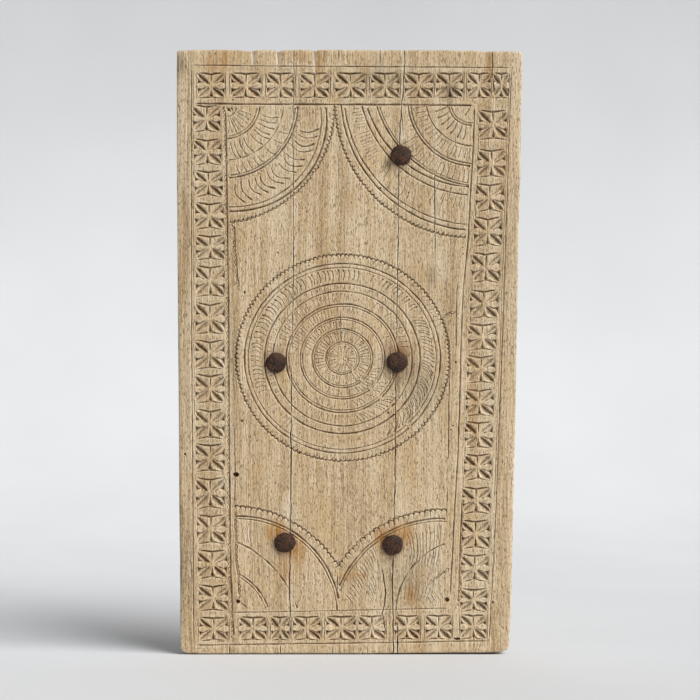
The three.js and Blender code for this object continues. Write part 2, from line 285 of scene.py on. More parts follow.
@dataclass(frozen=True)
class WeatheredWood:
    """Old hardwood, chip-carved and left bare for many years.

    The sun has bleached the raised wood to a dry tan and the soft grain has weathered into fine ridges.
    The raised edges of the cuts carry a painted highlight, and dirt with painted shade darkens their
    bottoms.
    """

    name: str
    light: str = "#e3cfb0"
    middle: str = "#ceb58f"
    dark: str = "#a98c69"
    fine_lines: str = "#7f6143"
    warm: str = "#c8a674"
    # Dirt and painted shade in the hollow bottoms of the cuts.
    dirt_and_shade: str = "#52361d"
    # Painted highlight on the raised edges of the cuts.
    painted_highlight: str = "#eee0c6"
    dirt_and_shade_in_cuts: float = 0.88
    bump_mm: float = 0.85
    pore_share: float = 0.62
    ring_mm: float = 0.0
    carved: bool = True
    bend: Grain = Grain(60, 60, 210, 1.0, offset=3.0)
    bands: Grain = Grain(17, 26, 420, 2.0, 0.55)
    streaks: Grain = Grain(2.6, 9, 120, 4.0, 0.75, 5.0)
    fibres: Grain = Grain(1.1, 2.0, 48, 2.0, 0.7, 9.0)
    pores: Grain = Grain(0.95, 1.5, 5.0, 1.0, 0.5, 13.0)
    mottle: Grain = Grain(1.3, 2.0, 3.4, 2.0, 0.6, 21.0)
    patches: Grain = Grain(46, 46, 70, 3.0, 0.6, 17.0)

    def material(self) -> bpy.types.Material:
        """Make the material."""
        finish, tree, coords = new_finish(self.name)
        bend = add(tree, "VectorMath", {0: self.bend.value(tree, coords), 1: (0.016, 0.01, 0.0)},
                   operation="MULTIPLY").outputs[0]
        along = add(tree, "VectorMath", {0: coords, 1: bend}, operation="ADD").outputs[0]
        bands, streaks, fibres, pores = (
            grain.value(tree, along) for grain in (self.bands, self.streaks, self.fibres, self.pores))
        mottle = self.mottle.value(tree, coords)
        patches = self.patches.value(tree, coords)
        mix = weighed(tree, ((bands, 0.26), (streaks, 0.26), (fibres, 0.3), (mottle, 0.24)))
        if self.ring_mm:
            mix = weighed(tree, ((self._year_rings(tree, coords), 0.08),), mix)
        wood = add(tree, "ValToRGB", {"Fac": mix},
                   stops=((0.43, self.dark), (0.52, self.middle), (0.6, self.light))).outputs[0]
        warm = add(tree, "MapRange", {"Value": patches, 1: 0.48, 2: 0.7, 3: 0.0, 4: 0.4}).outputs[0]
        wood = laid_over(tree, wood, self.warm, warm)
        sunk = add(tree, "MapRange", {"Value": pores, 1: 0.4, 2: 0.3, 3: 0.0, 4: 1.0}).outputs[0]
        line = add(tree, "Math", {0: sunk, 1: self.pore_share}, operation="MULTIPLY").outputs[0]
        wood = laid_over(tree, wood, self.fine_lines, line)
        if self.carved:
            wood = self._highlight_shade_and_dirt(tree, wood, patches)
            wood = self._stained(tree, wood, streaks)
        height = weighed(tree, ((fibres, 1.0), (mottle, 0.8)), streaks)
        height = add(tree, "Math", {0: height, 1: sunk}, operation="SUBTRACT").outputs[0]
        bump = add(tree, "Bump", {"Height": height, "Strength": 1.0,
                                  "Distance": self.bump_mm * MM}).outputs[0]
        rough = add(tree, "MapRange", {"Value": fibres, 1: 0.3, 2: 0.7, 3: 0.76, 4: 0.92}).outputs[0]
        shader = add(tree, "BsdfPrincipled", {"Base Color": wood, "Roughness": rough, "Normal": bump,
                                              "IOR": 1.45, "Specular IOR Level": 0.25})
        add(tree, "OutputMaterial", {"Surface": shader.outputs[0]})
        return finish

    def _year_rings(self, tree: bpy.types.NodeTree, coords: bpy.types.NodeSocket) -> bpy.types.NodeSocket:
        """The tree's rings, which show on the sawn ends."""
        centred = add(tree, "Mapping", {"Vector": coords, "Location": (0.06, 0.19, 0.0)}).outputs[0]
        return add(tree, "TexWave", {"Vector": centred, "Scale": 50 / self.ring_mm, "Distortion": 1.2,
                                     "Detail": 2.0, "Detail Scale": 1.2},
                   wave_type="RINGS", rings_direction="Z").outputs["Fac"]

    def _highlight_shade_and_dirt(self, tree: bpy.types.NodeTree, wood: bpy.types.NodeSocket,
                 patches: bpy.types.NodeSocket) -> bpy.types.NodeSocket:
        """Paint a highlight on the raised edges of the cuts, and darken the cuts towards their bottoms with
        dirt and painted shade.

        Args:
            tree: The material's node tree.
            wood: The bare wood's colour.
            patches: A slow pattern that makes the dirt and painted shade uneven.

        Returns:
            The new colour.
        """
        hollow = add(tree, "Attribute", attribute_name="hollow").outputs["Fac"]
        depth = add(tree, "Attribute", attribute_name="cut_depth").outputs["Fac"]
        ridge = add(tree, "Attribute", attribute_name="ridge_highlight").outputs["Fac"]
        # Dirt and painted shade: the dark colour fills the hollow bottoms of the cuts, more where they are
        # deep.
        grime_and_shade = add(tree, "MapRange", {"Value": hollow, 1: 0.26, 2: 0.85, 3: 0.0,
                                       4: self.dirt_and_shade_in_cuts}).outputs[0]
        deep = add(tree, "MapRange", {"Value": depth, 1: 0.2, 2: 1.3, 3: 0.35, 4: 1.0}).outputs[0]
        uneven = add(tree, "MapRange", {"Value": patches, 1: 0.3, 2: 0.65, 3: 0.65, 4: 1.2}).outputs[0]
        grime_and_shade = add(tree, "Math", {0: grime_and_shade, 1: deep}, operation="MULTIPLY").outputs[0]
        grime_and_shade = add(tree, "Math", {0: grime_and_shade, 1: uneven}, operation="MULTIPLY", use_clamp=True).outputs[0]
        # Painted highlight: the pale colour lightens the sharp raised edges of the cuts.
        ridge = add(tree, "MapRange", {"Value": ridge, 1: 0.15, 2: 0.8, 3: 0.0, 4: 0.75}).outputs[0]
        # Painted shade: the fine-line colour darkens the cuts more the deeper they go.
        shade = add(tree, "MapRange", {"Value": depth, 1: 0.6, 2: 3.0, 3: 0.0, 4: 0.28}).outputs[0]
        for colour, amount in ((self.painted_highlight, ridge), (self.fine_lines, shade), (self.dirt_and_shade, grime_and_shade)):
            wood = laid_over(tree, wood, colour, amount)
        return wood

    @staticmethod
    def _stained(tree: bpy.types.NodeTree, wood: bpy.types.NodeSocket,
                 streaks: bpy.types.NodeSocket) -> bpy.types.NodeSocket:
        """Lay the stains over the wood, broken up along its grain."""
        broken = add(tree, "MapRange", {"Value": streaks, 1: 0.35, 2: 0.6, 3: 1.25, 4: 0.5}).outputs[0]
        # Two stain kinds also carry painted shade down the left edge and painted light down the right edge.
        for kind, colour in STAIN_COLOURS:
            amount = add(tree, "Attribute", attribute_name=kind.value).outputs["Fac"]
            amount = add(tree, "Math", {0: amount, 1: broken}, operation="MULTIPLY",
                         use_clamp=True).outputs[0]
            wood = laid_over(tree, wood, colour, amount)
        return wood


@dataclass(frozen=True)
class RustedIron:
    """Wrought iron, hand-forged and long rusted: a dark brown crust with pits and a dull sheen."""

    name: str = "hand_forged_wrought_iron"
    crust: str = "#3a271b"
    scale: str = "#1c130f"
    bloom: str = "#6d4329"
    bump_mm: float = 1.3
    blotches: Grain = Grain(5, 5, 5, 4.0, 0.6)
    grit: Grain = Grain(1.3, 1.3, 1.3, 2.0, 0.6, 4.0)

    def material(self) -> bpy.types.Material:
        """Make the material."""
        finish, tree, coords = new_finish(self.name)
        mix = weighed(tree, ((self.blotches.value(tree, coords), 0.38),
                             (self.grit.value(tree, coords), 0.62)))
        colour = add(tree, "ValToRGB", {"Fac": mix},
                     stops=((0.42, self.scale), (0.51, self.crust), (0.62, self.bloom))).outputs[0]
        rough = add(tree, "MapRange", {"Value": mix, 1: 0.35, 2: 0.65, 3: 0.48, 4: 0.82}).outputs[0]
        bump = add(tree, "Bump", {"Height": mix, "Strength": 1.0, "Distance": self.bump_mm * MM}).outputs[0]
        shader = add(tree, "BsdfPrincipled", {"Base Color": colour, "Roughness": rough, "Normal": bump,
                                              "Metallic": 0.35})
        add(tree, "OutputMaterial", {"Surface": shader.outputs[0]})
        return finish


@dataclass(frozen=True)
class Gouge:
    """A V-shaped gouge, by how far each wall of its cut leans out for each millimetre of depth."""

    left: float = 1.0
    right: float = 1.0


VEINER = Gouge(1.0, 1.0)
PARTING_TOOL = Gouge(0.8, 0.8)
SMALL_VEINER = Gouge(0.85, 0.85)
BROAD_GOUGE = Gouge(2.1, 2.1)
LEFT_SKEW = Gouge(1.9, 1.0)
RIGHT_SKEW = Gouge(1.0, 1.9)


class CutterSet:
    """Closed shapes that are taken out of the wood, in layers within which none touches another."""

    _bars: dict[int, bmesh.types.BMesh] = {}
    _cell = 1.5 * MM
    _scallop: Path = ((0, 1.45), (0.2, 1.05), (0.5, 0.95), (0.8, 1.05), (1, 1.45))

    def __init__(self, name: str) -> None:
        """Start an empty set.

        Args:
            name: What these cuts are, for the log.
        """
        self.name = name
        self.layers: list[bmesh.types.BMesh] = []
        self.taken: list[set[tuple[int, int]]] = []
        self.count = 0

    def _cells(self, piece: bmesh.types.BMesh) -> set[tuple[int, int]]:
        """Find the small squares of the face that a shape lies over.

        Args:
            piece: The shape.

        Returns:
            The squares under its edges and under the middles of its faces.
        """
        cells = set()
        for edge in piece.edges:
            start, end = edge.verts[0].co, edge.verts[1].co
            count = max(1, math.ceil((end - start).length / self._cell))
            for i in range(count + 1):
                place = start.lerp(end, i / count)
                cells.add((math.floor(place.x / self._cell), math.floor(place.z / self._cell)))
        for face in piece.faces:
            place = face.calc_center_median()
            cells.add((math.floor(place.x / self._cell), math.floor(place.z / self._cell)))
        return cells

    def take(self, piece: bmesh.types.BMesh) -> None:
        """Add one closed shape to the first layer that has room for it, and free it."""
        bmesh.ops.recalc_face_normals(piece, faces=piece.faces)
        if piece.calc_volume(signed=True) < 0:
            bmesh.ops.reverse_faces(piece, faces=piece.faces)
        cells = self._cells(piece)
        free = [i for i, taken in enumerate(self.taken) if not taken & cells]
        if not free:
            self.layers.append(bmesh.new())
            self.taken.append(set())
            free = [len(self.layers) - 1]
        self.taken[free[0]].update((x + i, z + j) for x, z in cells for i in (-1, 0, 1) for j in (-1, 0, 1))
        mesh = bpy.data.meshes.new("cut")
        piece.to_mesh(mesh)
        piece.free()
        self.layers[free[0]].from_mesh(mesh)
        bpy.data.meshes.remove(mesh)
        self.count += 1

    @classmethod
    def _bar(cls, stations: int) -> bmesh.types.BMesh:
        """Make a straight three-sided bar.

        Args:
            stations: How many rings of corners it has along it.

        Returns:
            A copy of the bar, which is made once for each number of stations.
        """
        if stations not in cls._bars:
            bar = bmesh.new()
            bmesh.ops.create_cone(bar, cap_ends=True, segments=3, radius1=1, radius2=1, depth=1)
            lengthways = [e for e in bar.edges if abs(e.verts[0].co.z - e.verts[1].co.z) > 0.5]
            if stations > 2:
                bmesh.ops.subdivide_edges(bar, edges=lengthways, cuts=stations - 2, use_grid_fill=True)
            cls._bars[stations] = bar
        return cls._bars[stations].copy()

    def groove(self, path: Path, depths: list[float], gouge: Gouge = VEINER, back: bool = False) -> None:
        """Cut a V groove along a path.

        Args:
            path: The places that its bottom passes, two or more.
            depths: How deep it is at each of them. The cut narrows to nothing where this is 0.
            gouge: The tool, which sets how wide the cut opens.
            back: Whether it is cut into the back of the plank.
        """
        last = len(path) - 1
        bar = self._bar(len(path))
        sides = []
        for i, (x, z) in enumerate(path):
            before = path[max(i - 1, 0)]
            after = path[min(i + 1, last)]
            along = Vector((after[0] - before[0], after[1] - before[1])).normalized()
            sides.append((x, z, along.y, -along.x))
        for vert in bar.verts:
            x, z, side_x, side_z = sides[round((vert.co.z + 0.5) * last)]
            depth = depths[round((vert.co.z + 0.5) * last)]
            if vert.co.y > 0.1:
                place = on_face(x, z, -depth)
            else:
                lean = -gouge.left if vert.co.x < 0 else gouge.right
                reach = lean * (depth + OVERCUT)
                place = on_face(x + side_x * reach, z + side_z * reach, OVERCUT)
            if back:
                place.y = BACK_Y + FACE_Y - place.y
            vert.co = place
        self.take(bar)

    def chip(self, corners: Path, deepest: Place, depth: float) -> None:
        """Cut a pointed pit whose sides meet at one deepest place.

        Args:
            corners: Its corners on the face.
            deepest: The place under which it is deepest.
            depth: How deep it is there.
        """
        spread = (depth + OVERCUT) / depth
        pit = bmesh.new()
        for x, z in corners:
            pit.verts.new(on_face(deepest[0] + (x - deepest[0]) * spread,
                                  deepest[1] + (z - deepest[1]) * spread, OVERCUT))
        pit.verts.new(on_face(deepest[0], deepest[1], -depth))
        bmesh.ops.convex_hull(pit, input=pit.verts)
        self.take(pit)

    def crescent(self, start: Place, end: Place, bulge: float, depth: float) -> None:
        """Cut one scallop of a beaded edge.

        Args:
            start: Its first point.
            end: Its last point.
            bulge: How far its middle lies to the left of the straight line between them.
            depth: How deep it is.
        """
        length = math.hypot(end[0] - start[0], end[1] - start[1])
        side = (-(end[1] - start[1]) / length, (end[0] - start[0]) / length)
        path, depths = [], []
        for t, part in self._scallop:
            off = bulge * math.sin(math.pi * t ** 0.62)
            depths.append(depth * part)
            path.append((start[0] + (end[0] - start[0]) * t + side[0] * off,
                         start[1] + (end[1] - start[1]) * t + side[1] * off))
        self.groove(tuple(path), depths, SMALL_VEINER)

    def hole(self, x: float, z: float, width: float, height: float, depth: float, sides: int = 9) -> None:
        """Cut a rough round-bottomed hole.

        Args:
            x: Its middle across the face.
            z: Its middle up the face.
            width: Its size across.
            height: Its size up the face.
            depth: How deep it goes.
            sides: How many sides its rim has.
        """
        pit = bmesh.new()
        bmesh.ops.create_cone(pit, cap_ends=True, segments=sides, radius1=0.5, radius2=0.36,
                              depth=depth + OVERCUT)
        bmesh.ops.rotate(pit, verts=pit.verts, cent=(0, 0, 0), matrix=Matrix.Rotation(-math.pi / 2, 3, "X"))
        for vert in pit.verts:
            ragged = 1 + 0.18 * noise.noise(Vector((vert.co.x * 3 + x, vert.co.y, vert.co.z * 3 + z)))
            out = -vert.co.y + (OVERCUT - depth) / 2
            vert.co = on_face(x + vert.co.x * width * ragged, z + vert.co.z * height * ragged, out)
        self.take(pit)

    def cut_from(self, wood: bpy.types.Object) -> None:
        """Take every shape of the set out of the wood.

        Args:
            wood: The plank, whose mesh is replaced.
        """
        for layer in self.layers:
            combine(wood, joined_to_scene("cutters", layer), "DIFFERENCE")
        LOG.info("%s: %d cuts in %d layers, %d faces after", self.name, self.count, len(self.layers),
                 len(wood.data.polygons))


def hand_depths(count: int, depth: float, seed: float, taper: int = 1,
                unevenness: float = 0.22) -> list[float]:
    """Depths along a cut made by hand, shallower at both ends and a little uneven between.

    Args:
        count: How many places the cut passes.
        depth: Its usual depth.
        seed: A number that makes this cut differ from the others.
        taper: How many places each end takes to reach the full depth.
        unevenness: How much the depth wanders, as a share.

    Returns:
        One depth for each place.
    """
    depths = []
    for i in range(count):
        near_end = min(i, count - 1 - i)
        rise = 1.0 if taper == 0 else min(1.0, near_end / taper)
        wander = 1 + unevenness * noise.noise(Vector((i * 0.45, seed, seed * 0.37))) * 2
        depths.append(depth * rise * wander - (0.05 if rise == 0 else 0))
    return depths


def stepped(path: Path, step: float) -> Path:
    """Put places along a path at even steps.

    Args:
        path: The path's own corners.
        step: The distance between places.

    Returns:
        The path with places about that far apart, its corners among them.
    """
    places = [path[0]]
    for (x0, z0), (x1, z1) in zip(path, path[1:]):
        count = max(1, round(math.hypot(x1 - x0, z1 - z0) / step))
        places += [(x0 + (x1 - x0) * i / count, z0 + (z1 - z0) * i / count) for i in range(1, count + 1)]
    return tuple(places)


@dataclass
class PlankBlank:
    """The old board before carving, with the uneven outline that its age gave it."""

    top: Path = ((-207.4, 360.2), (-203.3, 361.8), (-188.9, 362.2), (-160.1, 362.4), (-131.3, 361.9),
                 (-119.3, 361.0), (-116.9, 359.6), (-114.0, 362.0), (-97.7, 362.3), (-88.1, 362.0),
                 (-85.7, 359.8), (-83.0, 361.8), (-73.7, 362.3), (-59.3, 362.4), (-44.9, 362.2),
                 (-41.9, 360.6), (-38.9, 362.2), (-16.1, 362.4), (12.7, 362.1), (41.5, 362.0),
                 (113.5, 361.9), (144.7, 361.4), (156.7, 361.0), (161.5, 360.1), (171.1, 360.7),
                 (199.9, 360.5), (204.7, 360.0), (207.3, 358.4))
    foot: Path = ((-202.8, -353.0), (-201.8, -357.2), (-199.6, -360.4), (-195.5, -362.0),
                  (-179.3, -362.4), (-119.3, -362.4), (-59.3, -362.2), (12.7, -362.3), (108.7, -361.4),
                  (156.7, -361.2), (178.3, -360.6), (185.5, -359.7), (189.6, -357.4), (191.8, -353.2))
    left: Path = ((-207.2, 360.0), (-207.3, 338.0), (-207.2, 194.0), (-206.8, 170.0), (-206.0, 50.0),
                  (-205.4, -22.0), (-204.7, -118.0), (-204.4, -190.0), (-203.3, -262.0), (-202.8, -353.0))
    right: Path = ((207.3, 360.0), (207.2, 338.0), (206.2, 290.0), (205.3, 218.0), (204.3, 170.0),
                   (202.5, 98.0), (201.2, 26.0), (199.9, -46.0), (198.6, -118.0), (196.7, -190.0),
                   (195.2, -262.0), (194.0, -310.0), (192.8, -334.0), (191.8, -353.2))
    edge_steps: tuple[float, ...] = (0.0, 0.5, 1.2, 2.4, 4.5)
    across_step: float = 4.9
    up_step: float = 5.6
    edge_wear: float = 1.1
    edge_wear_reach: float = 2.0
    side_rings: tuple[float, ...] = (25.0, 17.0, 8.0, 1.5)
    back_inset: float = 1.0
    side_roughness: float = 0.35
    front_lean: float = 0.35
    front_reach: float = 3.0
    flutes: tuple[tuple[float, float, float, float], ...] = (
        (-117.5, 4.0, 0.9, 300.0), (-87.0, 3.6, 1.0, 300.0), (-43.5, 4.2, 0.9, 292.0),
        (-171.0, 7.0, 0.5, 330.0), (161.5, 3.4, 0.7, 335.0))

    def _marks(self, length: float, step: float) -> list[float]:
        """Space the grid lines, close together beside both edges.

        Args:
            length: The whole length in millimetres.
            step: The usual distance between lines.

        Returns:
            Their places as shares of the length.
        """
        inner = self.edge_steps[-1]
        count = round((length - 2 * inner) / step)
        middle = [inner + (length - 2 * inner) * i / count for i in range(1, count)]
        marks = list(self.edge_steps) + middle + [length - s for s in reversed(self.edge_steps)]
        return [m / length for m in marks]

    def build(self) -> bmesh.types.BMesh:
        """Make the uncarved plank.

        Returns:
            A closed shape whose front is a grid of faces of material 0. Its sides and back are
            material 1.
        """
        width = (PLANK_HIGH.x - PLANK_LOW.x) / MM
        height = (PLANK_HIGH.z - PLANK_LOW.z) / MM
        columns = self._marks(width, self.across_step)
        rows = self._marks(height, self.up_step)
        left, right = turned(self.left), turned(self.right)
        board = bmesh.new()
        bmesh.ops.create_grid(board, x_segments=len(columns) - 1, y_segments=len(rows) - 1, size=0.5)
        for vert in board.verts:
            u = columns[round((vert.co.x + 0.5) * (len(columns) - 1))]
            v = rows[round((vert.co.y + 0.5) * (len(rows) - 1))]
            z = (v - 0.5) * height
            x = follow(left, z) + (follow(right, z) - follow(left, z)) * u
            z = follow(self.foot, x) + (follow(self.top, x) - follow(self.foot, x)) * v
            away = min(u * width, (1 - u) * width, v * height, (1 - v) * height)
            wear = max(0.0, 1 - away / self.edge_wear_reach) ** 2 * self.edge_wear
            wear *= 1 + 0.8 * noise.noise(Vector((x / 14, z / 22, 3.1)))
            vert.co = on_face(x, z, -wear)
        rim = [e for e in board.edges if e.is_boundary]
        for edge_from_back in self.side_rings + (0.0,):
            grown = bmesh.ops.extrude_edge_only(board, edges=rim)["geom"]
            rim = [e for e in grown if isinstance(e, bmesh.types.BMEdge)]
            for vert in {v for e in rim for v in e.verts}:
                rough = noise.noise(Vector((vert.co.x / (11 * MM), edge_from_back / 7,
                                            vert.co.z / (40 * MM))))
                inset = self.side_roughness * rough + (self.back_inset if edge_from_back == 0 else 0.15)
                vert.co.x -= math.copysign(inset * MM, vert.co.x) if abs(vert.co.x) > 0.185 else 0
                vert.co.z -= math.copysign(inset * MM, vert.co.z) if abs(vert.co.z) > 0.35 else 0
                vert.co.y = BACK_Y - edge_from_back * MM
        bmesh.ops.holes_fill(board, edges=rim, sides=0)
        bmesh.ops.recalc_face_normals(board, faces=board.faces)
        for face in board.faces:
            face.smooth = True
            near = face.calc_center_median().y < FACE_Y + self.front_reach * MM
            carved = near and face.normal.y < -self.front_lean
            face.material_index = 0 if carved else 1
        return board


@dataclass(frozen=True)
class RuledLine:
    """One line cut down or across the face, by the places it passes."""

    path: Path
    depth: float = 1.0
    nicked_side: int = 0
    gouge: Gouge = VEINER


@dataclass
class RuledLines:
    """The long lines that frame the border and the field."""

    step: float = 6.5
    boldness: float = 1.5
    nick_pitch: float = 5.8
    nick_size: float = 1.9
    upright: tuple[RuledLine, ...] = (
        RuledLine(((-189.7, 343.0), (-190.0, 280.0), (-189.5, 0.0), (-187.0, -350.0)), 0.8),
        RuledLine(((-187.6, 340.0), (-187.2, 120.0), (-186.3, -90.0)), 0.45),
        RuledLine(((-149.6, 293.6), (-149.0, 284.0), (-147.4, 200.0), (-146.8, 150.0), (-145.6, 60.0),
                   (-145.2, 0.0), (-144.6, -100.0), (-144.0, -190.0), (-142.6, -270.0), (-139.8, -330.0),
                   (-139.3, -345.0)), 1.2, 1),
        RuledLine(((-139.5, 155.6), (-138.2, 148.4), (-136.9, 122.0), (-135.4, 98.0), (-132.0, 74.0)),
                  0.9, 1),
        RuledLine(((-138.6, -85.6), (-138.1, -106.0), (-137.4, -143.2), (-138.0, -185.0)), 0.7),
        RuledLine(((-137.8, -195.6), (-136.4, -250.0), (-134.2, -268.0), (-133.4, -296.2)), 0.8, -1),
        RuledLine(((150.1, 296.0), (148.3, 242.0), (144.7, 182.0), (142.3, 134.0), (136.3, 74.0),
                   (133.9, 14.0), (132.1, -58.0), (130.3, -118.0), (126.7, -178.0), (124.3, -226.0),
                   (120.7, -294.0)), 1.0),
        RuledLine(((154.9, 278.0), (154.3, 230.0), (150.2, 140.0), (145.9, 62.0), (143.0, -10.0),
                   (139.1, -106.0), (135.6, -172.0)), 0.55),
        RuledLine(((135.0, -178.0), (132.4, -250.0), (130.1, -305.2)), 1.2, -1),
        RuledLine(((194.5, 341.0), (192.6, 296.0), (187.4, 140.0), (183.6, 20.0), (176.0, -180.0),
                   (167.8, -346.0)), 0.75),
        RuledLine(((191.6, 338.0), (190.2, 290.0), (184.8, 134.0), (181.2, 20.0), (173.8, -180.0)), 0.5),
        RuledLine(((129.8, 84.8), (128.3, 58.4), (127.9, 2.0)), 0.8),
        RuledLine(((120.2, -0.4), (119.7, -34.0), (118.7, -106.0), (119.0, -132.4)), 0.8),
        RuledLine(((117.5, -161.2), (117.1, -178.0), (115.4, -187.6)), 0.7),
    )
    level: tuple[RuledLine, ...] = (
        RuledLine(((-190.6, 343.8), (-60.0, 342.6), (60.0, 341.8), (195.0, 341.0)), 0.8),
        RuledLine(((-188.0, 297.6), (-60.0, 296.8), (40.0, 296.4), (151.0, 295.6)), 1.25),
        RuledLine(((-150.0, -313.2), (-60.0, -311.8), (30.0, -310.0), (121.0, -308.0)), 0.7),
        RuledLine(((-187.0, -352.4), (-100.0, -351.2), (40.0, -349.4), (167.0, -347.2)), 0.9),
        RuledLine(((-187.0, -356.4), (-171.0, -356.2)), 0.8),
        RuledLine(((-163.0, -348.6), (-146.2, -348.2)), 0.5),
    )
    branch: tuple[RuledLine, ...] = (
        RuledLine(((111.1, 41.6), (115.9, 44.6), (120.7, 47.6), (126.9, 48.8)), 0.9, 1),
        RuledLine(((-131.3, -300.4), (-120.5, -310.0)), 1.0),
        RuledLine(((119.5, -260.8), (105.1, -271.6), (95.5, -280.0)), 0.9, 1),
        RuledLine(((-14.4, -264.0), (-15.0, -285.0), (-14.6, -299.0)), 0.8),
    )

    def _nicks(self, cuts: CutterSet, line: RuledLine, seed: int) -> None:
        """Cut the row of nicks that gives a line its beaded edge.

        Args:
            cuts: The set that takes them.
            line: The line.
            seed: Makes this row differ from the others.
        """
        rng = random.Random(seed)
        places = stepped(line.path, self.nick_pitch)
        for (x0, z0), (x1, z1) in zip(places, places[1:]):
            length = math.hypot(x1 - x0, z1 - z0)
            off = rng.uniform(0.2, 0.7) * line.nicked_side
            aside = ((z1 - z0) / length * off, -(x1 - x0) / length * off)
            bulge = -line.nicked_side * self.nick_size * rng.uniform(0.75, 1.2)
            cuts.crescent((x0 + aside[0], z0 + aside[1]), (x1 + aside[0], z1 + aside[1]), bulge,
                          rng.uniform(0.9, 1.4))

    def cut_from(self, wood: bpy.types.Object) -> None:
        """Cut all the lines, the level ones after the upright ones that they meet.

        Args:
            wood: The plank, whose mesh is replaced.
        """
        nicks = CutterSet("beaded edges")
        for name, lines in (("upright lines", self.upright), ("level lines", self.level),
                            ("short lines", self.branch)):
            cuts = CutterSet(name)
            for number, line in enumerate(lines):
                path = stepped(line.path, self.step)
                depths = hand_depths(len(path), line.depth * self.boldness, number * 7.3 + len(path))
                cuts.groove(path, depths, line.gouge)
                if line.nicked_side:
                    self._nicks(nicks, line, number + len(path))
            cuts.cut_from(wood)
        nicks.cut_from(wood)


@dataclass(frozen=True)
class Square:
    """One square of the border, and whether it stands in a column."""

    left: float
    right: float
    foot: float
    top: float
    column: bool

    def at(self, u: float, v: float) -> Place:
        """A place in the square, where -1 to 1 spans it both across and up."""
        return ((self.left + self.right) / 2 + u * (self.right - self.left) / 2,
                (self.foot + self.top) / 2 + v * (self.top - self.foot) / 2)


@dataclass(frozen=True)
class Stem:
    """The cut that parts two petals, straight up or down from the boss."""

    up: int
    places: tuple[float, ...]
    profile: tuple[float, ...]
    boldness: Place
    gouge: Gouge


